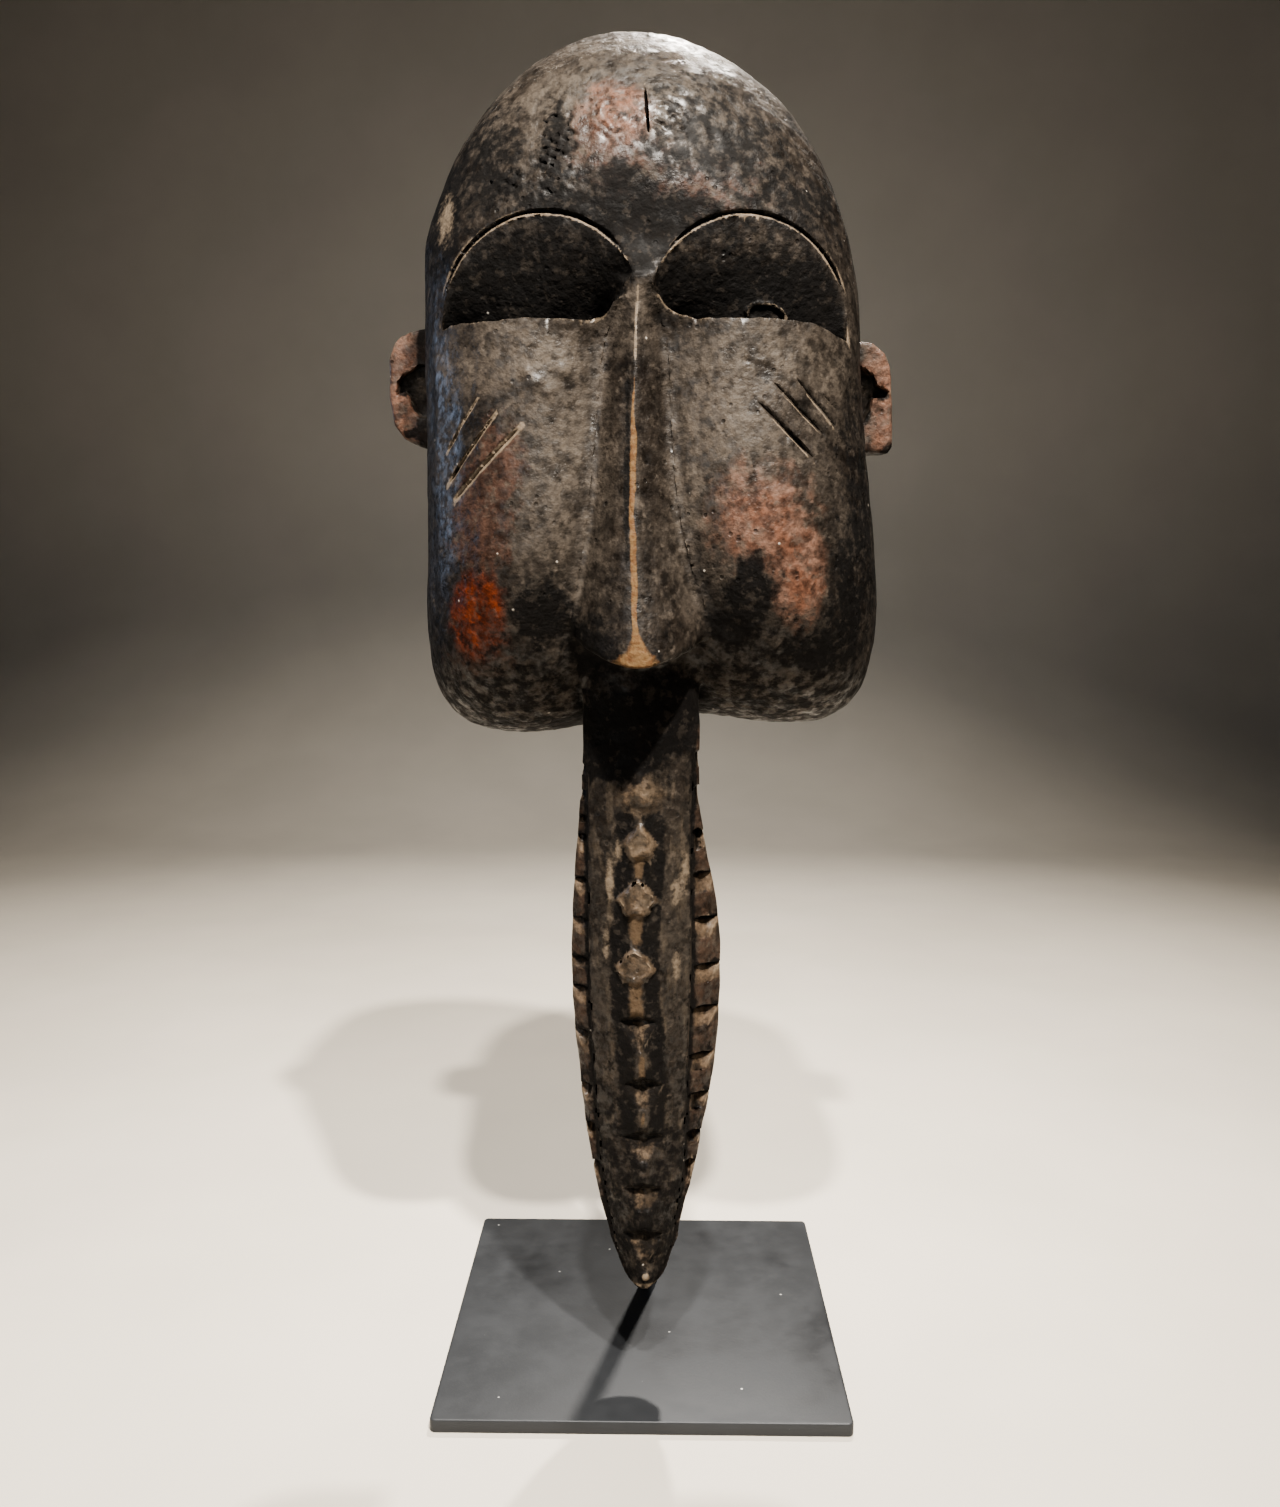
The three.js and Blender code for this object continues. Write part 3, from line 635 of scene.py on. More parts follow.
def beard(sizes, x, y, z):
    """Hollowed band with its keel between two flanges that fall back, over sides that draw in to the back."""
    tip, front, wide, inner, back = beard_at(x, z)
    side = np.abs(x)
    bulge = BAND_BULGE * tip ** 1.7
    band_y = front + bulge
    band = front + bulge * (side / inner) ** 2 - keel(sizes, x, z, tip)
    step = FLANGE_STEP * ramp(z, *FLANGE_STEP_Z) * tip * (1 - ramp(side - inner, 0, FLANGE_STEP_WIDTH))
    flange = band_y + step + (side - inner) * FLANGE_SLOPE
    surface = np.where(side < inner, band, flange)
    slope = np.where(side < inner, 2 * bulge * side / inner ** 2, FLANGE_SLOPE)
    face = (surface - y) / np.hypot(1, slope)
    chip = chip_cuts(sizes, x, z, side, inner, wide, -face)
    face = np.maximum(face, -chip)
    corner_y = band_y + (wide - inner) * FLANGE_SLOPE + FLANGE_CORNER * tip ** 2
    run = np.maximum(back - corner_y, 0.5)
    slant = ((side - wide) * run + (y - corner_y) * BEARD_TAPER * wide) / np.hypot(run, BEARD_TAPER * wide)
    body = meet(meet(side - wide, slant, 2), y - back, 3)
    body = meet(face, body, 0.8)
    return np.maximum(body, np.maximum(z - BEARD_ROOT_Z, BEARD_Z[1] - z))


def chip_cuts(sizes, x, z, side, inner, wide, sunk):
    """Notches in the flanges and the keel: a short steep wall above, a long facet below."""

    def notch(depth, above, runs):
        return sunk - (depth - np.maximum(above / runs[0], -above / runs[1]))

    deep = sizes.chip_depth / MM
    share = (side - inner - 0.8) / np.maximum(wide - inner, 1)
    depth = np.where(x < 0, *CHIP_SHARES) * deep * np.clip(1.2 - 2.2 * np.abs(share - CHIP_MIDDLE), 0.02, 1)
    flange_notch = np.maximum(notch(depth, above_flange_stop(x, z), FLANGE_CUT_RUNS) * 0.5, -share * 8)
    flange_notch = np.maximum(flange_notch, z - FLANGE_CUTS_TOP)
    depth = deep * (1.1 - np.abs(keel_side(x, z)) / 8.5)
    keel_notch = notch(depth, nearest_stop(KEEL_STOPS, z), KEEL_CUT_RUNS) * 0.6
    keel_notch = np.maximum(keel_notch, z - KEEL_CUTS_TOP)
    return np.minimum(flange_notch, keel_notch)


def inside_outline(corners, x, z):
    """Distance to a flat outline, negative inside it."""
    corners = np.asarray(corners, float)
    nearest = np.full_like(x, 1e9)
    inside = np.zeros(x.shape, bool)
    for (ax, az), (bx, bz) in zip(corners, np.roll(corners, -1, 0)):
        dx, dz = bx - ax, bz - az
        t = np.clip(((x - ax) * dx + (z - az) * dz) / (dx * dx + dz * dz), 0, 1)
        nearest = np.minimum(nearest, np.hypot(x - ax - t * dx, z - az - t * dz))
        if dz:
            inside ^= ((az > z) != (bz > z)) & (x < ax + (z - az) / dz * dx)
    return np.where(inside, -nearest, nearest)


def ear(outline, pocket, x, y, z):
    """Flat ear with a scooped recess that deepens downwards."""
    front, back = EAR_Y
    slab = meet(inside_outline(outline, x, z), np.abs(y - (front + back) / 2) - (back - front) / 2, 2)
    recess = inside_outline(pocket, x, z) + POCKET_TAPER * (y - front) - 0.3
    scoop = POCKET_Y[0] + (POCKET_Y[1] - POCKET_Y[0]) * ramp(z, *POCKET_Z)
    return cut(slab, np.maximum(recess, y - scoop), 0.6)


def along_line(start, end, x, z):
    """Share of the way along a line and distance from it."""
    dx, dz = end[0] - start[0], end[1] - start[1]
    t = np.clip(((x - start[0]) * dx + (z - start[1]) * dz) / (dx * dx + dz * dz), 0, 1)
    return t, np.hypot(x - start[0] - t * dx, z - start[1] - t * dz)


def groove(start, end, half, depth, x, z, sunk):
    """V-shaped cut along a line, shallower towards both ends."""
    t, away = along_line(start, end, x, z)
    spare = 0.6
    deep = (depth + spare) * (1 - (2 * t - 1) ** 6) - spare
    return (sunk - deep + depth * away / half) * half / math.hypot(half, depth)


def waves(points, length, seed, count=9):
    """Gentle uneven relief from -1 to 1, with dents about as wide as length."""
    random = np.random.default_rng(seed)
    total = np.zeros(len(points))
    for _ in range(count):
        direction = random.normal(size=3)
        direction *= 2 * np.pi / length / np.linalg.norm(direction) * random.uniform(0.7, 1.4)
        total += np.cos(points @ direction + random.uniform(0, 2 * np.pi))
    return total / math.sqrt(count)


def inside_oval(place, x, z):
    """1 in the middle of an oval given as x, z, half width and half height, 0 on its edge, less outside."""
    middle_x, middle_z, wide, tall = place
    return 1 - np.hypot((x - middle_x) / wide, (z - middle_z) / tall)


def roughen(solid, points):
    """Presses the dents of the rough places into the field."""
    x, y, z = points.T
    for place, length, low, depth in ROUGH_PLACES:
        inside = inside_oval(place, x, z)
        near = (inside > 0) & (y < FRONT_Y)
        if near.any():
            dents = np.clip(waves(points[near], length, DENT_SEED) - low, 0, 1.2)
            solid[near] += depth * dents * ramp(inside[near], 0, 0.4)


def wrinkle(solid, x, y, z):
    """Presses uneven rings round the two ends of the forehead's boss into the field."""
    for middle_x, middle_z, reach in WRINKLED:
        away = np.hypot(x - middle_x, z - middle_z)
        near = (away < reach) & (y < FRONT_Y)
        if near.any():
            turn = np.arctan2(z[near] - middle_z, x[near] - middle_x)
            rings = np.sin(1.9 * away[near] + 2.2 * np.sin(2 * turn) + 0.8 * np.sin(5 * turn))
            solid[near] += WRINKLE_HEIGHT * rings * ramp(away[near], reach, 0.5 * reach)


def carved(sizes, points):
    """The whole mask as one field."""
    x, y, z = points.T
    block = head(sizes, x, y, z)
    solid = block.copy()

    def room(ranges):
        """Which points lie within ranges of x, y and z."""
        (left, right), (front, back), (low, high) = ranges
        return (x > left) & (x < right) & (y > front) & (y < back) & (z > low) & (z < high)

    def change(near, combine, blend, form):
        """Joins a form on or cuts it out. The form gets x, y, z and the depth under the plain head."""
        if near.any():
            part = form(x[near], y[near], z[near], -block[near])
            solid[near] = combine(solid[near], part, blend)

    for middle in EYE_MIDDLES:
        near = (np.abs(x - middle) < EYE_RADIUS + 6) & room(EYE_ROOM)
        change(near, cut, 0.35, lambda x, y, z, sunk: brow_line(middle, x, z, sunk))
        change(near, cut, 0.7, lambda x, y, z, _: eye_socket(sizes, middle, x, y, z))
    change(room(NOSE_ROOM), join, NOSE_FILLET, lambda x, y, z, _: nose(sizes, x, y, z))
    change(room(BEARD_ROOM), join, BEARD_FILLET, lambda x, y, z, _: beard(sizes, x, y, z))
    for outline, pocket, ranges in EARS:
        change(room(ranges), join, EAR_FILLET, lambda x, y, z, _: ear(outline, pocket, x, y, z))
    for start, end, half, depth in (*SCARS, CRACK):
        low, high = sorted((start[1], end[1]))
        near = np.abs(x - (start[0] + end[0]) / 2) < GROOVE_REACH
        near = near & room((ANY, (-FAR, GROOVE_FRONT_Y), (low - GROOVE_MARGIN, high + GROOVE_MARGIN)))
        change(near, cut, 0.3, lambda x, y, z, sunk: groove(start, end, half, depth, x, z, sunk))
    solid = cut(solid, hollow(sizes, x, y, z), 1.5)
    change(room(NECK_ROOM), cut, 1.5, lambda x, y, z, _: neck_cut(x, y, z))
    for middle in EYE_MIDDLES:
        near = (np.abs(x - middle) < SLIT_HALF + 4) & room(SLIT_ROOM)
        change(near, cut, 0.5, lambda x, y, z, _: eye_slit(sizes, middle, x, y, z))
    roughen(solid, points)
    wrinkle(solid, x, y, z)
    stretched = points * MARK_STRETCH
    solid += sizes.tool_marks / MM * sum(share * waves(stretched, length, seed)
                                         for length, seed, share in TOOL_MARKS)
    return solid


# Drawing the surface of a field as a mesh

CORNERS = np.array([(i, j, k) for i in (0, 1) for j in (0, 1) for k in (0, 1)])


def cells_near_surface(field, low, high, cell, halvings=3):
    step = cell * 2 ** halvings
    counts = np.ceil((high - low) / step).astype(int)
    cells = np.stack(np.meshgrid(*(np.arange(n) for n in counts), indexing="ij"), -1).reshape(-1, 3)
    for level in range(halvings, -1, -1):
        step = cell * 2 ** level
        centres = low + (cells + 0.5) * step
        cells = cells[np.abs(field(centres)) < step * 1.25 + 0.4]
        if level:
            cells = (cells[:, None, :] * 2 + CORNERS).reshape(-1, 3)
    return cells


def draw_surface(field, low, high, cell):
    """Points and four-sided faces on the field's zero, with crisp edges kept."""
    cells = cells_near_surface(field, low, high, cell)
    span = cells.max(0) + 3
    weights = np.array([span[1] * span[2], span[2], 1])
    keys = (cells[:, None, :] + CORNERS) @ weights
    corners, place = np.unique(keys, return_inverse=True)
    place = place.reshape(keys.shape)
    spots = np.stack([corners // weights[0], corners // weights[1] % span[1], corners % span[2]], 1)
    inside = field(low + spots * cell)

    mixed = (inside[place] < 0).any(1) & (inside[place] >= 0).any(1)
    cells, place = cells[mixed], place[mixed]
    order = np.argsort(cells @ weights)
    cells, place = cells[order], place[order]
    cell_keys = cells @ weights

    pairs = [(a, b, axis) for axis in range(3) for a in range(8) for b in range(8)
             if (CORNERS[b] - CORNERS[a] == np.eye(3)[axis]).all()]
    starts, ends, axes, owners = [], [], [], []
    for a, b, axis in pairs:
        crossing = np.flatnonzero((inside[place[:, a]] < 0) != (inside[place[:, b]] < 0))
        starts.append(place[crossing, a])
        ends.append(place[crossing, b])
        axes.append(np.full(len(crossing), axis))
        owners.append(crossing)
    starts, ends, axes, owners = (np.concatenate(v) for v in (starts, ends, axes, owners))
    _, first, same = np.unique(starts * 3 + axes, return_index=True, return_inverse=True)
    edge_start, edge_end, edge_axis = starts[first], ends[first], axes[first]

    a, b = low + spots[edge_start] * cell, low + spots[edge_end] * cell
    fa, fb = inside[edge_start], inside[edge_end]
    for _ in range(2):
        t = (fa / (fa - fb))[:, None]
        hit = a + (b - a) * t
        value = field(hit)
        left = (value < 0) == (fa < 0)
        a, b = np.where(left[:, None], hit, a), np.where(left[:, None], b, hit)
        fa, fb = np.where(left, value, fa), np.where(left, fb, value)
    hit = a + (b - a) * np.clip(fa / np.where(fa == fb, 1, fa - fb), 0, 1)[:, None]
    normal = slope_of(field, hit, cell * 0.12)

    matrix = np.zeros((len(cells), 3, 3))
    target = np.zeros((len(cells), 3))
    n, p = normal[same], hit[same]
    count = np.bincount(owners, minlength=len(cells))
    middle = np.stack([np.bincount(owners, p[:, i], len(cells)) for i in range(3)], 1) / count[:, None]
    offset = np.einsum("ij,ij->i", n, p - middle[owners])
    for i in range(3):
        target[:, i] = np.bincount(owners, n[:, i] * offset, len(cells))
        for j in range(3):
            matrix[:, i, j] = np.bincount(owners, n[:, i] * n[:, j], len(cells))
    matrix += np.eye(3) * 0.08
    points = middle + np.clip(np.linalg.solve(matrix, target[..., None])[..., 0], -cell, cell)
    box_low = low + cells * cell
    points = np.clip(points, box_low - 0.1 * cell, box_low + 1.1 * cell)

    faces = []
    for axis in range(3):
        chosen = np.flatnonzero(edge_axis == axis)
        u, v = (axis + 1) % 3, (axis + 2) % 3
        base = spots[edge_start[chosen]]
        quad = []
        for du, dv in ((1, 1), (0, 1), (0, 0), (1, 0)):
            cell_at = base.copy()
            cell_at[:, u] -= du
            cell_at[:, v] -= dv
            key = cell_at @ weights
            found = np.clip(np.searchsorted(cell_keys, key), 0, len(cell_keys) - 1)
            quad.append(np.where(cell_keys[found] == key, found, -1))
        quad = np.stack(quad, 1)
        outward = inside[edge_start[chosen]] < 0
        quad = np.where(outward[:, None], quad, quad[:, ::-1])
        faces.append(quad[(quad >= 0).all(1)])
    return points, np.concatenate(faces)


def slope_of(field, points, step):
    """Direction in which the field grows at each point."""
    corners = np.array([(1, -1, -1), (-1, -1, 1), (-1, 1, -1), (1, 1, 1)], float)
    grown = sum(field(points + corner * step)[:, None] * corner for corner in corners)
    return grown / np.maximum(np.linalg.norm(grown, axis=1, keepdims=True), 1e-9)


def roundness(field, points, out, reach):
    """Over 0 on edges that stand out and under 0 in hollows, judged at a reach in and out."""
    above, below = field(points + out * reach), field(points - out * reach)
    return (above + below) / np.maximum(above - below, reach)


# Where the wood's finish changes, and where shade is painted on: x, z, half width, half height and strength
# of each place

EARTH = ((-68, 344, 12, 17, 1.4),)
RUST = ((-66, 384, 13, 24, 1.3), (-58, 405, 10, 16, 0.9), (-68, 328, 13, 8, 0.6),
        (-14, 526, 14, 6, 0.3), (20, 512, 16, 6, 0.3))
ROSE = ((-13.9, 541, 14, 15, 1.3), (46, 384, 15, 16, 0.6), (62, 361, 10, 20, 1.3), (56, 373, 9, 11, 0.8),
        (-111, 447, 9, 36, 0.5), (108, 446, 8, 36, 0.5))
FOREHEAD_SOOT = ((-36, 527, 7, 20, 0.9), (-56, 516, 10, 7, 0.8), (28, 531, 22, 18, 0.3),
                 (60, 512, 22, 12, 0.3), (-66, 530, 14, 20, 0.3), (-84, 512, 9, 28, 1.0))
BROW_SOOT = ((-3, 500, 36, 13, 1.2), (-3, 496, 18, 17, 1.6), (-14, 513, 12, 8, 0.5), (-34, 505, 22, 7, 0.9))
NOSE_SOOT = ((-4, 481, 7, 5, 1.5), (-7.2, 400, 1.2, 42, 1.2))
CHEEK_SOOT = ((-41, 345, 13, 13, 1.2), (42, 353, 10, 12, 1.4), (36, 341, 12, 8, 1.0), (44, 364, 3, 8, 0.8),
              (38, 361, 2, 8, 0.7), (72, 330, 19, 10, 1.0), (84, 350, 9, 26, 0.6), (90, 380, 8, 40, 0.4),
              (-22, 330, 12, 14, 0.9), (-62, 305, 34, 12, 0.12), (64, 308, 34, 12, 0.12))
# Painted shadow under the nose and chin, and painted shade on the beard's lower end
CHIN_AND_TIP_SHADE = ((-3, 299, 32, 15, 1.6), (14, 308, 17, 15, 1.5), (0, 72, 26, 44, 0.25))
# Painted shadow of the head on the left ear, and painted shade in the ears' recesses and at their lower edges
EAR_SHADE = ((-101.5, 447, 3.4, 60, 1.6), (-109, 427, 2, 2, 1.0), (-111.5, 447, 3, 4, 1.4),
            (109.5, 420, 4, 3, 1.0), (107, 444.5, 3.5, 2, 1.5), (100, 437, 2, 6, 1.2))
SOOT_AND_SHADE = FOREHEAD_SOOT + BROW_SOOT + NOSE_SOOT + CHEEK_SOOT + CHIN_AND_TIP_SHADE + EAR_SHADE
DUSTY = ((-23, 405, 8, 44, 0.7), (17, 405, 8, 44, 0.6), (-52, 446, 36, 13, 1.1), (50, 446, 34, 12, 0.7),
         (10, 552, 30, 16, 0.25), (0, 575, 50, 16, 0.25), (-50, 308, 30, 12, 0.6), (55, 310, 30, 12, 0.6),
         (-34, 410, 16, 40, 0.4), (34, 420, 18, 34, 0.5), (-40, 548, 26, 22, 0.5), (-5, 463, 8, 12, 1.2),
         (-111, 447, 9, 36, 1.2), (108, 446, 8, 36, 0.8))
# Places on the forehead where the polish has gone dull
DULL = ((38, 530, 32, 34, 1.8), (0, 508, 46, 21, 1.6), (-60, 520, 24, 24, 0.6), (-8, 547, 28, 22, 0.5))
# Light strokes on the beard's band, painted highlights on the knob and the lip under it at the beard's tip,
# and a light streak on the left temple
STROKES_AND_TIP_HIGHLIGHTS = ((-14.5, 233, 1.6, 9, 0.5), (17.5, 237, 1.5, 7, 0.4), (14, 228, 2, 4, 0.4), (-11, 246, 1.2, 4, 0.3),
           (-16, 205, 1, 6, 0.3), (14, 196, 1.2, 5, 0.3), (1.6, 54.5, 1.7, 1.7, 1.4), (0, 50, 7, 0.9, 0.5))
TEMPLE_STREAK = ((-83, 507, 3, 9, 0.4),)

# Rubbed ridge of the nose: its half width, then what it gains below the bridge, at the nose's tip and on the
# left of the tip, each with the heights between which it sets in
RIDGE_HALF = 0.5
RIDGE_BELOW = (0.6, 440, 405)
RIDGE_TIP = (7.2, 344, 323)
RIDGE_LEFT = (3.5, 330, 326)
RIDGE_FADE_Z = (425, 446)
RIDGE_FRONT_Y = -76
# Painted glint on the nose's crest between two heights, with its half width
GLINT_Z = (446, 474)
GLINT_HALF = 0.36
# Worn bands where the nose meets the cheeks: heights, and half width and strength for left and right
ROOT_Z = (350, 440)
ROOT_BANDS = ((3, 1.1), (1.6, 0.6))
# Light in the scars, worn tan on the left and a painted highlight along the lower edge on the right:
# strength, share of the scar's width and shift, for left and right
SCAR_WEAR_AND_HIGHLIGHT = ((0.9, 0.8, 0), (0.4, 0.5, 0.8))
# The beard's marks lie under this height and this close to its middle
BEARD_MARKS_Z = 300
BEARD_MARKS_X = 40
# Heights between which the band is darkened beside the keel's beads, and under which its wedges get a painted
# highlight
BEADS_Z = (118, 262)
WEDGES_Z = 174
# Shade under the chin: where it is worked out, its lower edge in the middle, and how much that climbs to
# the right
CHIN_Z = 270
CHIN_SHADE = (276, 0.93)


def closeness(places, x, z):
    """1 in the middle of the nearest place, 0 on its edge and -1 far off, times its strength."""
    best = np.full(len(x), -1.0)
    for *place, strength in places:
        best = np.maximum(best, strength * inside_oval(place, x, z))
    return best


def nose_crest(z):
    return along(NOSE_CREST_X, down_nose(z))


def rubbed_lines(x, y, z):
    """How close a point is to what rubbed bare: the nose's ridge and tip, and the keel's bars."""
    wander = 0.5 * np.sin(z / 7) + 0.4 * np.sin(z / 3.1)
    below, tip, left = (ramp(z, start, end) for _, start, end in (RIDGE_BELOW, RIDGE_TIP, RIDGE_LEFT))
    half = RIDGE_HALF + RIDGE_BELOW[0] * below + 0.25 * wander + RIDGE_TIP[0] * tip ** 2
    half = half + np.where(x < -6, RIDGE_LEFT[0] * left, 0)
    ridge = 1 - np.abs(x - nose_crest(z) - 0.5 * wander) / half
    on_nose = (z > NOSE_Z[1] - 3) & (y < RIDGE_FRONT_Y)
    lines = np.where(on_nose, ridge - 1.2 * ramp(z, *RIDGE_FADE_Z), -1)
    side = np.abs(keel_side(x, z))
    for high, low, half in KEEL_BARS:
        bar = np.minimum(0.8 - side / half, np.minimum(high - z, z - low) / 3) - 0.06
        lines = np.maximum(lines, np.where(y < -40, bar, -1))
    return lines


def pale_lines(x, y, z):
    """Light marks: painted highlights under the brows, on the nose's crest, along the lower edges of the
    right scars and on the beard's tip, light wear round the curl and in the left scars, and a few light
    strokes.
    """
    lines = np.full_like(x, -1.0)
    for middle in EYE_MIDDLES:
        ring = np.hypot(x - middle, z - LEDGE_Z) - EYE_RADIUS
        fade = line_strength(middle, x, z, BROW_HIGHLIGHT_START, BROW_HIGHLIGHT_INNER)
        thin = 0.34 + 0.12 * np.sin(x / 5)
        lines = np.maximum(lines, (1.0 - np.abs(ring - 0.35) / thin) * fade - 1 + fade)
    across, up = (x - CURL_PLACE[0]) / CURL_HALF[0], (z - CURL_PLACE[1]) / CURL_HALF[1]
    rim = 0.1 - 4 * np.abs(np.hypot(across, up) - 1)
    lines = np.maximum(lines, np.where(up > -0.3, rim, -1))
    for start, end, half, _ in SCARS:
        right = start[0] > 0
        strength, width, shift = SCAR_WEAR_AND_HIGHLIGHT[right]
        t, away = along_line(start, end, x + shift, z + shift)
        scar_light = strength - away / (half * width)
        lines = np.maximum(lines, scar_light - 0.5 * ((t < 0.3) & right))
    glint = 1.2 - np.abs(x - nose_crest(z)) / GLINT_HALF
    lines = np.maximum(lines, np.where((z > GLINT_Z[0]) & (z < GLINT_Z[1]), glint, -1))
    lines = np.maximum(lines, closeness(STROKES_AND_TIP_HIGHLIGHTS, x, z) - (z > BEARD_MARKS_Z))
    lines = np.maximum(lines, closeness(TEMPLE_STREAK, x, z))
    return np.where(y < FRONT_Y, lines, -1)


def nose_root(x, z):
    """How close a point is to the worn bands where the nose meets the cheeks."""
    side = x - nose_crest(z)
    away = np.abs(side) - along(NOSE_HALF_WIDTHS, down_nose(z)) - 1.5 - 0.5 * np.sin(z / 9)
    left, right = (strength - np.abs(away) / half for half, strength in ROOT_BANDS)
    return np.where((z < ROOT_Z[1]) & (z > ROOT_Z[0]), np.where(side < 0, left, right), -1)


def lid_shade(sizes, x, y, z):
    """Painted shade on the lids, darker towards the ledge and a little lighter on the right."""
    soot_and_shade = np.full_like(x, -1.0)
    for middle in EYE_MIDDLES:
        inset = EYE_RADIUS - np.hypot(x - middle, z - LEDGE_Z)
        low = ramp(z, LEDGE_Z + 32, LEDGE_Z + 8)
        soot_and_shade = np.maximum(soot_and_shade, np.minimum(0.15 + 0.9 * low - 0.2 * (middle > 0), inset / 4 - 0.2))
    sunk = -head(sizes, x, y, z)
    return np.where((z > LEDGE_Z - 8) & (sunk > 1.6), soot_and_shade, -1)


def beard_pale_and_highlight(share, above, side, bead, stop, z):
    """Pale wood on the beads, and painted highlights on the long facets of the flanges' cuts and on the
    wedges of the keel.
    """
    facet = 0.8 + (above + 9 * (1 - 1.1 * np.abs(share - 0.45))) / 5
    facet = np.where((share > 0) & (above < 0), facet, -1)
    wedge = np.minimum(7.5 + 0.6 * stop - np.abs(side), -stop) / 2
    wedge = np.where((z < WEDGES_Z) & (stop < 0), wedge, -1)
    return np.maximum(np.maximum(bead / 2, facet - 0.5), wedge)


def beard_darkening(share, above, side, bead, from_band, x, z):
    """Darkens the wood beside the beads and along the band's edges, and paints shade in the flanges' stop
    cuts and the shadow under the chin.
    """
    soot_and_shade = np.where(np.abs(side) < 11, (4.5 - np.abs(np.abs(side) - 6.5)) / 4 - 0.5, -1)
    soot_and_shade = np.where((z < BEADS_Z[1]) & (z > BEADS_Z[0]) & (bead < 0), soot_and_shade + 0.4, -1)
    soot_and_shade = np.maximum(soot_and_shade, 0.9 - np.abs(from_band - 0.6) / 1.3)
    soot_and_shade = np.maximum(soot_and_shade, np.where(share > 0, 1.0 - np.abs(above - 0.5) / 0.7, -1))
    start, climb = CHIN_SHADE
    chin = (z - start - climb * np.maximum(0, x + 2)) / 3
    return np.where(z > CHIN_Z, np.maximum(soot_and_shade, chin), soot_and_shade)


def finish_marks(sizes, points):
    """What each point of the carved wood has met, and where painted shade and highlights lie on it, as one
    value for each kind of mark.
    """
    x, y, z = points.T
    field = lambda spots: carved(sizes, spots)
    out = slope_of(field, points, 0.4)
    front = (y < 5) & (out[:, 1] < 0.35)
    hide = np.where(front, 0.0, -2.0)
    _, _, wide, inner, _ = beard_at(x, z)
    from_band = np.abs(x) - inner
    share = from_band / np.maximum(wide - inner, 1)
    above, stop = above_flange_stop(x, z), nearest_stop(KEEL_STOPS, z)
    side = keel_side(x, z)
    bead = bead_inset(side, z)
    on_beard = (z < BEARD_MARKS_Z) & front & (np.abs(x) < BEARD_MARKS_X)
    # Soot places, some of them painted shade, and painted shade on the lids
    soot_and_shade = np.maximum(closeness(SOOT_AND_SHADE, x, z), np.where(front, lid_shade(sizes, x, y, z), -1))
    # Darkening on the beard: beside the beads and the band's edges, with painted shade in the stop cuts and
    # painted shadow under the chin
    cuts = beard_darkening(share, above, side, bead, from_band, x, z)
    return {
        "hollows": -roundness(field, points, out, 3),
        "edges": roundness(field, points, out, 1.2),
        "pale": np.where(on_beard, beard_pale_and_highlight(share, above, side, bead, stop, z), -1),
        "teeth": np.where(on_beard, from_band / 2, -1),
        "band": np.where(on_beard, np.clip(-from_band / 3, 0, 1) * ramp(z, 290, 275), 0),
        "lines": pale_lines(x, y, z) + hide,
        "earth": closeness(EARTH, x, z) + hide,
        "rust": closeness(RUST, x, z) + hide,
        "rose": closeness(ROSE, x, z) + hide,
        "dull": np.clip(closeness(DULL, x, z), 0, 1),
        "soot_and_shade": np.maximum(soot_and_shade, np.where(on_beard, cuts, -1)) + hide,
        "dusty": np.maximum(closeness(DUSTY, x, z), nose_root(x, z)) + hide,
        "bare": rubbed_lines(x, y, z) + hide,
    }


# Shader nodes

def node(tree, kind, inputs=None, **settings):
    """Adds a shader node. Inputs are values or other nodes' outputs."""
    made = tree.nodes.new(kind)
    for name, value in settings.items():
        setattr(made, name, value)
    for key, value in (inputs or {}).items():
        if isinstance(value, bpy.types.NodeSocket):
            tree.links.new(value, made.inputs[key])
        else:
            made.inputs[key].default_value = value
    return made


def start_group(name, inputs, output):
    """An empty node group with float or vector inputs and one float output."""
    tree = bpy.data.node_groups.new(name, "ShaderNodeTree")
    for label, value in inputs.items():
        kind = "NodeSocketVector" if label == "Vector" else "NodeSocketFloat"
        socket = tree.interface.new_socket(name=label, in_out="INPUT", socket_type=kind)
        if value is not None:
            socket.default_value = value
    tree.interface.new_socket(name=output, in_out="OUTPUT", socket_type="NodeSocketFloat")
    return tree, tree.nodes.new("NodeGroupInput").outputs, tree.nodes.new("NodeGroupOutput").inputs


def smooth_step(tree, value, low, high):
    inputs = {"Value": value, "From Min": low, "From Max": high}
    return node(tree, "ShaderNodeMapRange", inputs, interpolation_type="SMOOTHSTEP").outputs[0]


def math_node(tree, operation, *values):
    return node(tree, "ShaderNodeMath", dict(enumerate(values)), operation=operation).outputs[0]


def add_up(tree, total, *parts):
    """A value plus each mask times its amount."""
    for mask, amount in parts:
        total = math_node(tree, "MULTIPLY_ADD", mask, amount, total)
    return total


def mottle_group():
    """Cloudy patches."""
    tree, given, result = start_group(
        "Mottle", {"Vector": None, "Scale": 50.0, "Detail": 3.0, "Low": 0.4, "High": 0.6}, "Mask")
    noise = node(tree, "ShaderNodeTexNoise", {
        "Vector": given["Vector"], "Scale": given["Scale"], "Detail": given["Detail"], "Roughness": 0.6})
    tree.links.new(smooth_step(tree, noise.outputs["Fac"], given["Low"], given["High"]), result["Mask"])
    return tree


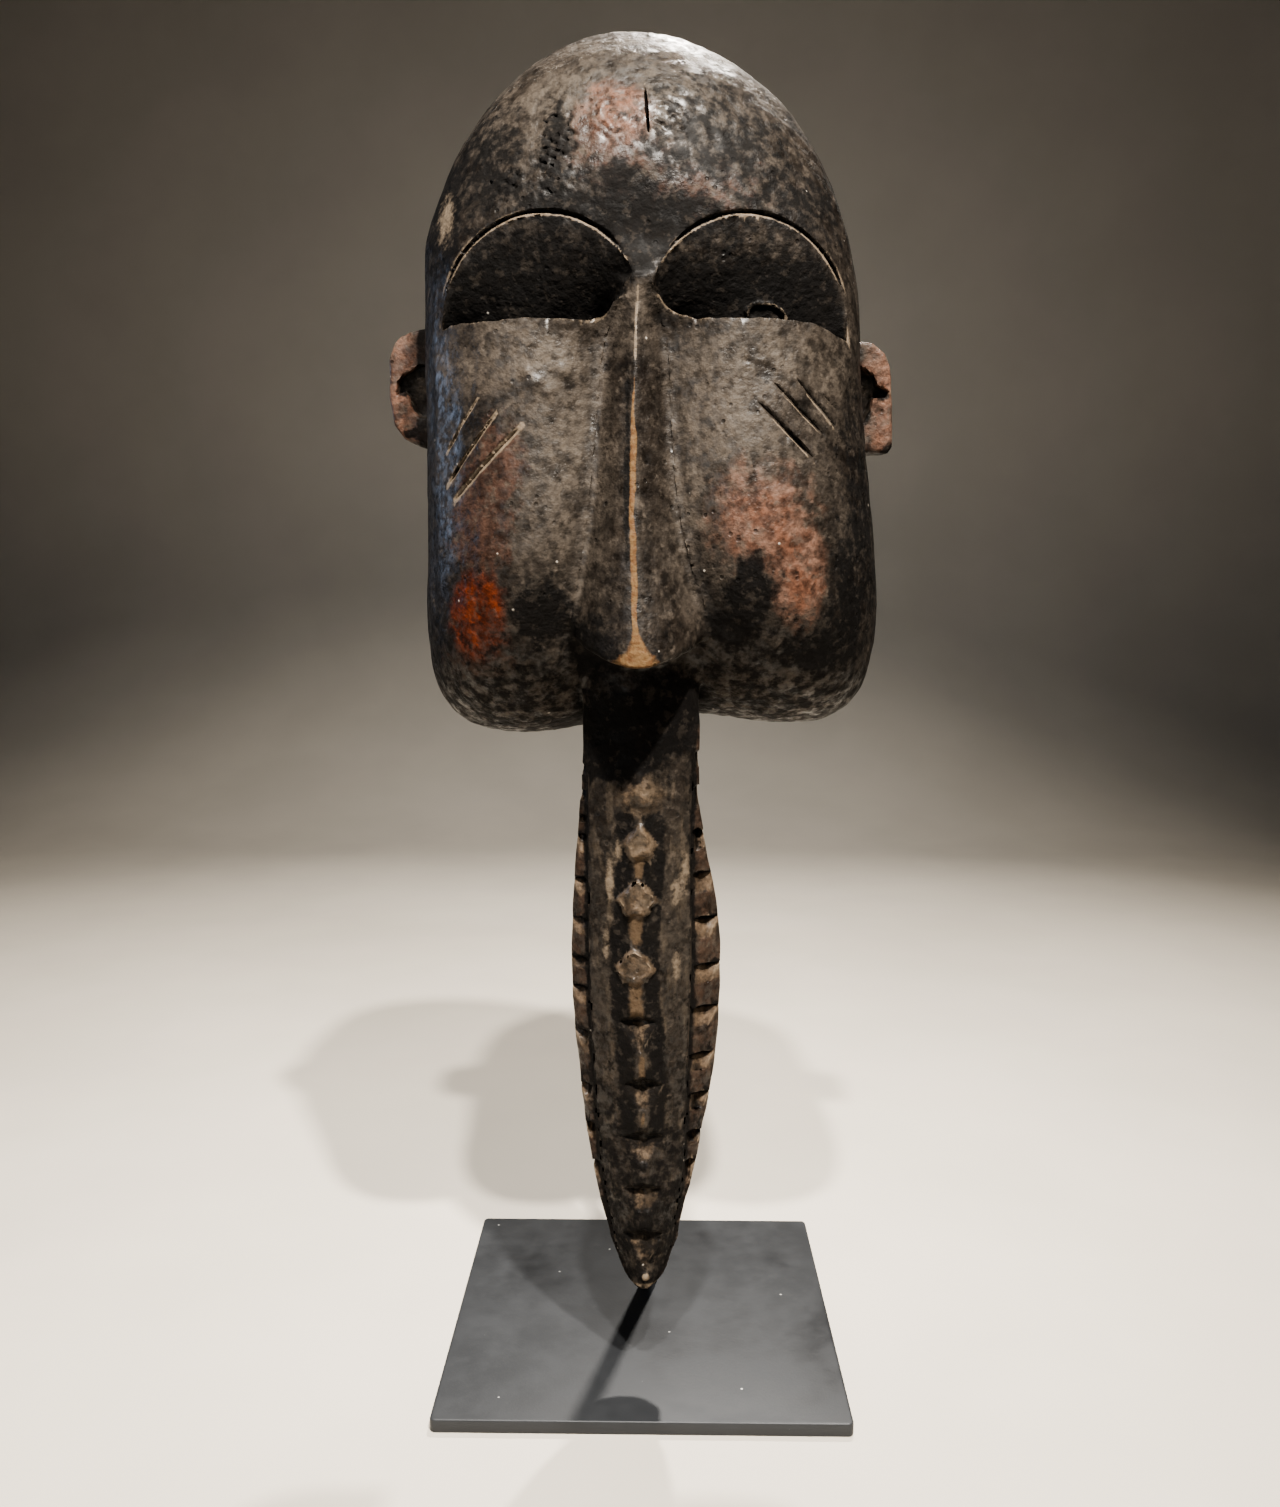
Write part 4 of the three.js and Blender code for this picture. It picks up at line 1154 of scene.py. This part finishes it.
def specks_group():
    """Small round spots, only some of them present."""
    tree, given, result = start_group(
        "Specks", {"Vector": None, "Scale": 200.0, "Size": 0.25, "Share": 0.3}, "Mask")
    cells = node(tree, "ShaderNodeTexVoronoi", {
        "Vector": given["Vector"], "Scale": given["Scale"], "Randomness": 1.0})
    inner = math_node(tree, "MULTIPLY", given["Size"], 0.4)
    spot = smooth_step(tree, cells.outputs["Distance"], given["Size"], inner)
    chance = node(tree, "ShaderNodeSeparateColor", {"Color": cells.outputs["Color"]}).outputs[0]
    present = math_node(tree, "LESS_THAN", chance, given["Share"])
    tree.links.new(math_node(tree, "MULTIPLY", spot, present), result["Mask"])
    return tree


def grain_group():
    """Fine lines that run up and down."""
    tree, given, result = start_group("Grain", {"Vector": None, "Scale": 500.0, "Stretch": 0.08}, "Height")
    squeeze = node(tree, "ShaderNodeCombineXYZ", {0: 1.0, 1: 1.0, 2: given["Stretch"]})
    stretched = node(tree, "ShaderNodeVectorMath", {
        0: given["Vector"], 1: squeeze.outputs[0]}, operation="MULTIPLY")
    noise = node(tree, "ShaderNodeTexNoise", {
        "Vector": stretched.outputs[0], "Scale": given["Scale"], "Detail": 3.0, "Roughness": 0.55})
    tree.links.new(noise.outputs["Fac"], result["Height"])
    return tree


def streaks_group():
    """Broken streaks that run up and down."""
    tree, given, result = start_group(
        "Streaks", {"Vector": None, "Scale": 300.0, "Stretch": 0.2, "Low": 0.5, "High": 0.6}, "Mask")
    fine = group(tree, "Grain", grain_group, Vector=given["Vector"], Scale=given["Scale"],
                 Stretch=given["Stretch"])
    tree.links.new(smooth_step(tree, fine, given["Low"], given["High"]), result["Mask"])
    return tree


def ragged_group():
    """A place's edge, broken up by noise: Value is over 0 inside it."""
    tree, given, result = start_group(
        "Ragged Edge", {"Vector": None, "Value": 0.0, "Scale": 120.0, "Amount": 1.0, "Softness": 0.2}, "Mask")
    noise = node(tree, "ShaderNodeTexNoise", {
        "Vector": given["Vector"], "Scale": given["Scale"], "Detail": 5.0, "Roughness": 0.62})
    noise = math_node(tree, "SUBTRACT", noise.outputs["Fac"], 0.5)
    moved = math_node(tree, "MULTIPLY_ADD", noise, given["Amount"], given["Value"])
    below = math_node(tree, "MULTIPLY", given["Softness"], -1.0)
    tree.links.new(smooth_step(tree, moved, below, given["Softness"]), result["Mask"])
    return tree


def group(tree, name, build, **inputs):
    """Places a shared effect in a material, made once when it is first used."""
    shared = bpy.data.node_groups.get(name) or build()
    return node(tree, "ShaderNodeGroup", inputs, node_tree=shared).outputs[0]


def layer(tree, under, over, mask, amount=1.0):
    """Lays one colour over another where the mask is 1."""
    if amount != 1.0:
        mask = math_node(tree, "MULTIPLY", mask, amount)
    colours = {6: under, 7: over, 0: mask}
    for key in (6, 7):
        if not isinstance(colours[key], bpy.types.NodeSocket):
            colours[key] = (*colours[key], 1.0)
    return node(tree, "ShaderNodeMix", colours, data_type="RGBA").outputs[2]


def start_material(name):
    material = bpy.data.materials.new(name)
    material.use_nodes = True
    tree = material.node_tree
    return material, tree, tree.nodes["Principled BSDF"], node(tree, "ShaderNodeTexCoord").outputs["Object"]


def attribute(tree, name):
    """A mark that the carving left on every point of the wood."""
    return node(tree, "ShaderNodeAttribute", attribute_name=name).outputs["Fac"]


def tint(colour, *factors):
    """A colour times one factor, or times one each for red, green and blue."""
    return tuple(c * f for c, f in zip(colour, factors if len(factors) == 3 else factors * 3))


# Colours of the light dust specks, and the strength of the wood's polish
WOOD_DUST = (0.36, 0.33, 0.29)
STEEL_DUST = (0.5, 0.5, 0.48)
WOOD_POLISH = 0.42
LEAST_POLISH = 0.03


def worn_wood(finish):
    """Dark handled wood with rubbed earth colours, black crust and painted shade in its hollows, painted
    highlights and bare rubbed lines.
    """
    material, tree, shader, place = start_material("worn_wood")

    def mottle(scale, low, high):
        return group(tree, "Mottle", mottle_group, Vector=place, Scale=scale, Low=low, High=high)

    def specks(scale, size, present):
        return group(tree, "Specks", specks_group, Vector=place, Scale=scale, Size=size, Share=present)

    def ragged(mark, scale, amount, softness):
        return group(tree, "Ragged Edge", ragged_group, Vector=place, Value=attribute(tree, mark),
                     Scale=scale, Amount=amount, Softness=softness)

    def times(mask, amount):
        return math_node(tree, "MULTIPLY", mask, amount)

    clouds = mottle(32.0, 0.38, 0.64)
    blotches = mottle(130.0, 0.46, 0.60)
    flecks = mottle(430.0, 0.42, 0.62)
    scuffs = mottle(210.0, 0.54, 0.70)
    spots = specks(190.0, 0.62, 0.4)
    light_specks = specks(170.0, 0.13, 0.05)
    pits = times(specks(300.0, 0.36, 0.3), mottle(45.0, 0.5, 0.62))
    grain = group(tree, "Grain", grain_group, Vector=place, Scale=420.0, Stretch=0.09)
    streaks = group(tree, "Streaks", streaks_group, Vector=place, Scale=170.0, Stretch=0.35,
                    Low=0.5, High=0.64)
    streaks = times(streaks, attribute(tree, "band"))
    rubbing = ragged("rose", 140.0, 1.5, 0.45)
    # Soot, and painted shade on the lids, in the ears, in the stop cuts and under the chin
    soot_and_shade_mask = ragged("soot_and_shade", 190.0, 2.6, 0.3)
    rubbed = ragged("bare", 330.0, 1.3, 0.3)
    # Painted shade in the hollows
    hollow_shade = math_node(tree, "MINIMUM", times(attribute(tree, "hollows"), 1.8), 0.9)
    on_edges = smooth_step(tree, add_up(tree, attribute(tree, "edges"), (grain, 0.5)), 0.5, 0.85)

    tan = layer(tree, tint(finish.bare, 0.58), tint(finish.bare, 0.4, 0.3, 0.25), flecks, 0.75)
    tan = layer(tree, tan, tint(finish.bare, 0.33, 0.38, 0.5), attribute(tree, "band"), 0.9)
    colour = finish.patina
    for over, mask, amount in (
            (finish.dusty, clouds, 0.7),
            (tint(finish.dusty, 2.3), ragged("dusty", 70.0, 1.4, 0.6), 0.7),
            (finish.rose, rubbing, 0.75),
            (tint(finish.rose, 1.12, 1.6, 2.0), times(rubbing, mottle(120.0, 0.42, 0.6)), 0.55),
            (tint(finish.earth, 0.40, 1.1, 3.2), ragged("rust", 200.0, 2.2, 0.3), 0.85),
            (finish.earth, ragged("earth", 160.0, 1.2, 0.35), 0.92),
            (tint(finish.rose, 0.34, 0.42, 0.44), ragged("teeth", 150.0, 1.4, 0.5), 0.6),
            (tint(finish.dusty, 2.2), scuffs, 0.55),
            # Pale wood on the beads, and painted highlights on the chip facets and the keel's wedges
            (tint(finish.pale, 0.66, 0.6, 0.55), ragged("pale", 230.0, 1.7, 0.8), 0.75),
            (finish.soot_and_shade, blotches, 0.5),
            (finish.soot_and_shade, flecks, 0.35),
            (finish.soot_and_shade, spots, 0.45),
            (tint(finish.pale, 0.6), streaks, 0.3),
            (finish.soot_and_shade, soot_and_shade_mask, 0.92),
            (tint(finish.dusty, 1.3), mottle(240.0, 0.55, 0.66), 0.34),
            (finish.soot_and_shade, hollow_shade, 1.0),
            (finish.pale, on_edges, 0.6),
            # Painted highlights under the brows, on the nose's crest, the right scars and the beard's tip,
            # with light wear in the left scars and strokes
            (tint(finish.pale, 0.95), ragged("lines", 300.0, 1.2, 0.25), 0.7),
            (tan, rubbed, 0.9),
            (WOOD_DUST, light_specks, 0.6),
            (finish.soot_and_shade, pits, 0.55)):
        colour = layer(tree, colour, over, mask, amount)
    tree.links.new(colour, shader.inputs["Base Color"])

    rough = add_up(tree, finish.roughness, (clouds, 0.08), (blotches, -0.14), (scuffs, 0.14), (flecks, -0.06),
                   (rubbed, 0.15), (spots, -0.08), (soot_and_shade_mask, 0.25))
    tree.links.new(rough, shader.inputs["Roughness"])
    polish = add_up(tree, WOOD_POLISH, (clouds, -0.15), (blotches, 0.25), (scuffs, -0.15), (soot_and_shade_mask, -0.5),
                    (rubbed, -0.4), (attribute(tree, "dull"), -0.34))
    polish = math_node(tree, "MAXIMUM", times(polish, mottle(300.0, 0.38, 0.62)), LEAST_POLISH)
    tree.links.new(polish, shader.inputs["Coat Weight"])
    shader.inputs["Coat Roughness"].default_value = 0.36

    lumps = node(tree, "ShaderNodeTexNoise", {
        "Vector": place, "Scale": 330.0, "Detail": 4.0, "Roughness": 0.55})
    height = add_up(tree, times(lumps.outputs["Fac"], 1.3), (grain, 0.25), (pits, -0.6), (light_specks, 0.3),
                    (blotches, -0.12), (streaks, 0.2))
    bump = node(tree, "ShaderNodeBump", {"Height": height, "Distance": finish.relief, "Strength": 0.9})
    tree.links.new(bump.outputs[0], shader.inputs["Normal"])
    shader.inputs["Specular IOR Level"].default_value = 0.12
    return material


def black_steel(finish):
    """Blackened steel with soft smudges, dust specks and a faint rolled grain."""
    material, tree, shader, place = start_material("black_steel")
    smudges = group(tree, "Mottle", mottle_group, Vector=place, Scale=16.0, Low=0.52, High=0.74)
    clouds = group(tree, "Mottle", mottle_group, Vector=place, Scale=60.0, Low=0.3, High=0.75)
    dust = group(tree, "Specks", specks_group, Vector=place, Scale=160.0, Size=0.12, Share=0.05)
    grain = group(tree, "Grain", grain_group, Vector=place, Scale=900.0, Stretch=1.0)
    colour = layer(tree, finish.black, tint(finish.black, 1.35), clouds, 0.5)
    colour = layer(tree, colour, finish.smudge, smudges, 0.7)
    colour = layer(tree, colour, STEEL_DUST, dust, 0.8)
    tree.links.new(colour, shader.inputs["Base Color"])
    rough = add_up(tree, finish.roughness, (smudges, -0.12), (clouds, 0.1))
    tree.links.new(rough, shader.inputs["Roughness"])
    bump = node(tree, "ShaderNodeBump", {"Height": grain, "Distance": 0.06 * MM, "Strength": 0.6})
    tree.links.new(bump.outputs[0], shader.inputs["Normal"])
    shader.inputs["Metallic"].default_value = 0.35
    return material


def pale_floor(look):
    """Plain pale floor with a faint unevenness."""
    material, tree, shader, place = start_material("pale_floor")
    clouds = group(tree, "Mottle", mottle_group, Vector=place, Scale=5.0, Low=0.3, High=0.7)
    colour = layer(tree, look.floor, tint(look.floor, 0.93), clouds)
    tree.links.new(colour, shader.inputs["Base Color"])
    shader.inputs["Roughness"].default_value = 0.7
    return material


# Pieces

# Most triangles of the mask, and from how many degrees edges stay sharp
MOST_TRIANGLES = 194000
WOOD_SHARP, STEEL_SHARP = 48, 40


def add_object(name, mesh, material):
    made = bpy.data.objects.new(name, mesh)
    bpy.context.scene.collection.objects.link(made)
    mesh.materials.append(material)
    return made


def settle(piece, node_name):
    """Places a finished piece on the body in place of its frame node."""
    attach(piece, "root")
    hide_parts(node_name)


class MASK_OT_carve(bpy.types.Operator):
    """Carves the mask in one piece, wears its edges and lays on its finish"""
    bl_idname = "mask.carve"
    bl_label = "Carve Mask"

    def execute(self, context):
        sizes = context.scene.mask_sizes
        low, high = (np.array(corner) / MM for corner in (MASK_LOW, MASK_HIGH))
        cell = sizes.grid / MM * 1.0
        margin = 3
        points, faces = draw_surface(lambda spots: carved(sizes, spots), low - margin, high + margin, cell)
        mesh = bpy.data.meshes.new("mask_wood")
        mesh.from_pydata(points * MM, [], faces.tolist())
        mask = add_object("carved_mask", mesh, worn_wood(context.scene.wood_finish))
        self.thin_out(context, mask)
        self.mark(sizes, mask.data, low, high)
        settle(mask, "mask")
        return {"FINISHED"}

    def thin_out(self, context, mask):
        """Leaves out triangles where the wood is nearly flat."""
        triangles = 2 * len(mask.data.polygons)
        thin = mask.modifiers.new("thin", "DECIMATE")
        thin.ratio = min(1.0, MOST_TRIANGLES / triangles)
        thin.use_collapse_triangulate = True
        graph = context.evaluated_depsgraph_get()
        whole = mask.data
        mask.data = bpy.data.meshes.new_from_object(mask.evaluated_get(graph))
        mask.modifiers.clear()
        bpy.data.meshes.remove(whole)
        mask.data.name = "mask_wood"

    def mark(self, sizes, mesh, low, high):
        """Keeps the wood inside the frame's box and notes its wear, and where painted shade and highlights
        lie, on every point.
        """
        spots = np.empty(len(mesh.vertices) * 3)
        mesh.vertices.foreach_get("co", spots)
        hair = 0.001
        spots = np.clip(spots.reshape(-1, 3) / MM, low + hair, high - hair)
        mesh.vertices.foreach_set("co", (spots * MM).ravel())
        for name, values in finish_marks(sizes, spots).items():
            marks = mesh.attributes.new(name, "FLOAT", "POINT")
            marks.data.foreach_set("value", np.ascontiguousarray(values, dtype=np.float32))
        mesh.shade_smooth()
        mesh.set_sharp_from_angle(angle=math.radians(WOOD_SHARP))


class MASK_OT_stand(bpy.types.Operator):
    """Makes the square steel plate with eased edges and the bent rod that carries the mask"""
    bl_idname = "mask.make_stand"
    bl_label = "Make Stand"

    def execute(self, context):
        finish = context.scene.stand_finish
        steel = black_steel(finish)
        plate = add_object("stand_plate_steel", self.plate(finish.edge), steel)
        settle(plate, "stand_plate")
        rod = add_object("stand_rod_steel", self.rod(), steel)
        settle(rod, "stand_rod")
        return {"FINISHED"}

    def plate(self, edge):
        """Rings of a rounded square, from the underside round the eased edges to the top."""
        corner = PLATE_CORNER * MM
        thickness = PLATE_HIGH.z - PLATE_LOW.z
        turns = [math.radians(a) for a in (0, 30, 60, 90)]
        profile = [(edge * (1 - math.sin(a)), edge * (1 - math.cos(a))) for a in turns]
        profile += [(inset, thickness - rise) for inset, rise in reversed(profile)]
        half = (PLATE_HIGH.x - PLATE_LOW.x) / 2 - corner
        rings = []
        for inset, rise in profile:
            ring = []
            for quarter, (side_x, side_y) in enumerate(((1, 1), (-1, 1), (-1, -1), (1, -1))):
                for step in range(CORNER_STEPS + 1):
                    a = math.radians(90 * quarter + 90 * step / CORNER_STEPS)
                    across, deep = (corner - inset) * math.cos(a), (corner - inset) * math.sin(a)
                    ring.append((side_x * half + across, side_y * half + deep, PLATE_LOW.z + rise))
            rings.append(ring)
        return self.skin("plate_steel", rings)

    def rod(self):
        """Round rod along its upright and its bend, with an eased end under the crown."""
        foot = Vector((ROD_X * MM, ROD_Y * MM, ROD_FOOT_Z))
        bend = Vector((ROD_X * MM, ROD_Y * MM, ROD_BEND_Z * MM))
        tip = Vector(ROD_TIP) * MM
        path = [foot.lerp(bend, i / UPRIGHT_STEPS) for i in range(UPRIGHT_STEPS)]
        lower, upper = (Vector((0, 0, reach * MM)) for reach in ROD_HANDLES)
        for i in range(BEND_STEPS + 1):
            t = i / BEND_STEPS
            path.append((1 - t) ** 3 * bend + 3 * (1 - t) ** 2 * t * (bend + lower)
                        + 3 * (1 - t) * t * t * (tip - upper) + t ** 3 * tip)
        radius, ease = ROD_RADIUS * MM, ROD_EASE * MM
        path.insert(1, path[0] + Vector((0, 0, ease)))
        path.insert(-1, path[-1] - Vector((0, 0, ease)))
        radii = [radius - ease] + [radius] * (len(path) - 2) + [radius - ease]
        rings = []
        for i, spot in enumerate(path):
            ahead = path[min(i + 1, len(path) - 1)] - path[max(i - 1, 0)]
            across = Vector((0, 0, 1)).rotation_difference(ahead.normalized())
            ring = []
            for step in range(ROUND_STEPS):
                a = 2 * math.pi * step / ROUND_STEPS
                ring.append(spot + across @ Vector((radii[i] * math.cos(a), radii[i] * math.sin(a), 0)))
            rings.append(ring)
        return self.skin("rod_steel", rings)

    def skin(self, name, rings):
        """Closed skin over rings of points from the lowest to the highest."""
        count = len(rings[0])
        points = [point for ring in rings for point in ring]
        faces = [tuple(range(count))[::-1], tuple(range(len(points) - count, len(points)))]
        for row in range(len(rings) - 1):
            for i in range(count):
                a, b = row * count + i, row * count + (i + 1) % count
                faces.append((a, b, b + count, a + count))
        mesh = bpy.data.meshes.new(name)
        mesh.from_pydata(points, [], faces)
        mesh.shade_smooth()
        mesh.set_sharp_from_angle(angle=math.radians(STEEL_SHARP))
        return mesh


# Camera, matched to the plate's corners in a picture of 1280 x 1507
PICTURE = (1280, 1507)
FOCAL_PIXELS = 1275.93
CAMERA_PLACE = (0.00372, -0.59392, 0.34772)
CAMERA_PITCH = math.radians(6.493)
CAMERA_YAW = math.radians(-0.610)
CAMERA_ROLL = math.radians(0.222)
SENSOR = 36
VIEW_REACH = 20

# Lights: the point that they look at, the key and front lights' ways and distance from it, and their colours
LIT_PLACE = Vector((0, -0.05, 0.33))
KEY_WAY = Vector((0.20, -0.505, 0.84))
FRONT_WAY = Vector((0.0, -0.515, 0.86))
FRONT_REACH = 1.9
TOP_PLACE = 2.2 * Vector((0.114, 0.458, 0.881))
FILL_PLACE = (-0.7, -1.3, 0.8)
COOL_PLACE = (-0.9, 0.22, 0.55)
WALL_LIGHT_PLACE = (0, 0.8, 0.6)
WALL_PLACE = Vector((0, 1.9, 0.5))
WARM, WHITE, COOL = (1.0, 0.94, 0.86), (0.95, 0.97, 1.0), (0.60, 0.74, 1.0)
DIM_AIR = (0.021, 0.022, 0.024, 1)

# Floor sweep in metres: half width, front, where it begins to curve up, radius, height and steps of the curve
SWEEP_HALF, SWEEP_FRONT, SWEEP_BACK = 3.0, -3.0, 1.2
SWEEP_RADIUS, SWEEP_TOP, SWEEP_STEPS = 0.7, 3.2, 24


class MASK_OT_stage(bpy.types.Operator):
    """Lays a pale floor and sets the lights and the camera"""
    bl_idname = "mask.set_stage"
    bl_label = "Set Stage"

    def execute(self, context):
        look = context.scene.stage_look
        floor = add_object("pale_floor", self.sweep(), pale_floor(look))
        for name, place, target, size, spread, power, colour in (
                ("key_light", LIT_PLACE + FRONT_REACH * KEY_WAY, LIT_PLACE, 0.07, 60, look.key, WARM),
                ("front_light", LIT_PLACE + FRONT_REACH * FRONT_WAY, LIT_PLACE, 0.07, 60, look.front, WARM),
                ("top_light", TOP_PLACE, Vector(), 0.07, 70, look.top, WARM),
                ("fill_light", FILL_PLACE, LIT_PLACE, 1.0, 120, look.fill, WHITE),
                ("cool_light", COOL_PLACE, LIT_PLACE, 0.3, 90, look.rim, COOL),
                ("wall_light", WALL_LIGHT_PLACE, WALL_PLACE, 1.2, 150, look.wall, WHITE)):
            self.lamp(name, place, target, size, spread, power, colour)
        world = bpy.data.worlds.new("studio")
        context.scene.world = world
        world.use_nodes = True
        world.node_tree.nodes["Background"].inputs["Color"].default_value = DIM_AIR
        context.scene.view_settings.view_transform = "AgX"
        context.scene.view_settings.look = "AgX - Medium High Contrast"
        self.camera(context.scene)
        return {"FINISHED"}

    def sweep(self):
        """Floor that runs back and curves up behind the piece."""
        profile = [(SWEEP_FRONT, 0.0)]
        profile += [(SWEEP_BACK + SWEEP_RADIUS * math.sin(a), SWEEP_RADIUS - SWEEP_RADIUS * math.cos(a))
                    for a in (math.pi / 2 * i / SWEEP_STEPS for i in range(SWEEP_STEPS + 1))]
        profile.append((SWEEP_BACK + SWEEP_RADIUS, SWEEP_TOP))
        points = [(x, y, z) for y, z in profile for x in (-SWEEP_HALF, SWEEP_HALF)]
        faces = [(2 * i, 2 * i + 1, 2 * i + 3, 2 * i + 2) for i in range(len(profile) - 1)]
        mesh = bpy.data.meshes.new("floor_sweep")
        mesh.from_pydata(points, [], faces)
        mesh.shade_smooth()
        return mesh

    def lamp(self, name, place, target, size, spread, power, colour):
        data = bpy.data.lights.new(name, "AREA")
        data.shape = "DISK"
        data.size = size
        data.spread = math.radians(spread)
        data.energy = power
        data.color = colour
        made = bpy.data.objects.new(name, data)
        bpy.context.scene.collection.objects.link(made)
        made.location = place
        made.rotation_euler = (target - Vector(place)).to_track_quat("-Z", "Y").to_euler()

    def camera(self, scene):
        level_ahead = Vector((math.sin(CAMERA_YAW), math.cos(CAMERA_YAW), 0))
        level = Vector((math.cos(CAMERA_YAW), -math.sin(CAMERA_YAW), 0))
        plumb = Vector((0, 0, 1))
        view = math.cos(CAMERA_PITCH) * level_ahead - math.sin(CAMERA_PITCH) * plumb
        upright = math.cos(CAMERA_PITCH) * plumb + math.sin(CAMERA_PITCH) * level_ahead
        right = math.cos(CAMERA_ROLL) * level + math.sin(CAMERA_ROLL) * upright
        up = math.cos(CAMERA_ROLL) * upright - math.sin(CAMERA_ROLL) * level
        data = bpy.data.cameras.new("camera")
        data.sensor_width = SENSOR
        data.lens = FOCAL_PIXELS * SENSOR / max(PICTURE)
        data.clip_end = VIEW_REACH
        made = bpy.data.objects.new("camera", data)
        scene.collection.objects.link(made)
        turned = Matrix((right, up, -view)).transposed().to_4x4()
        made.matrix_world = Matrix.Translation(CAMERA_PLACE) @ turned
        scene.camera = made


class MASK_PT_maker(bpy.types.Panel):
    """Sizes, colours and making of the mask"""
    bl_idname = "MASK_PT_maker"
    bl_label = "Carved Mask"
    bl_space_type = "VIEW_3D"
    bl_region_type = "UI"
    bl_category = "Mask"

    def draw(self, context):
        for group_name in GROUPS:
            box = self.layout.box()
            settings = getattr(context.scene, group_name)
            for name in settings.__annotations__:
                box.prop(settings, name)
        for operator in OPERATORS:
            self.layout.operator(operator.bl_idname)


GROUPS = {
    "mask_sizes": MaskSizes,
    "wood_finish": WoodFinish,
    "stand_finish": StandFinish,
    "stage_look": StageLook,
}
OPERATORS = (MASK_OT_stage, MASK_OT_stand, MASK_OT_carve)


def register():
    for kind in (*GROUPS.values(), *OPERATORS, MASK_PT_maker):
        bpy.utils.register_class(kind)
    for name, kind in GROUPS.items():
        setattr(bpy.types.Scene, name, PointerProperty(type=kind))


def unregister():
    for name in GROUPS:
        delattr(bpy.types.Scene, name)
    for kind in (MASK_PT_maker, *reversed(OPERATORS), *reversed(GROUPS.values())):
        bpy.utils.unregister_class(kind)


def main():
    register()
    bpy.ops.mask.set_stage()
    bpy.ops.mask.make_stand()
    bpy.ops.mask.carve()


if __name__ == "__main__":
    main()
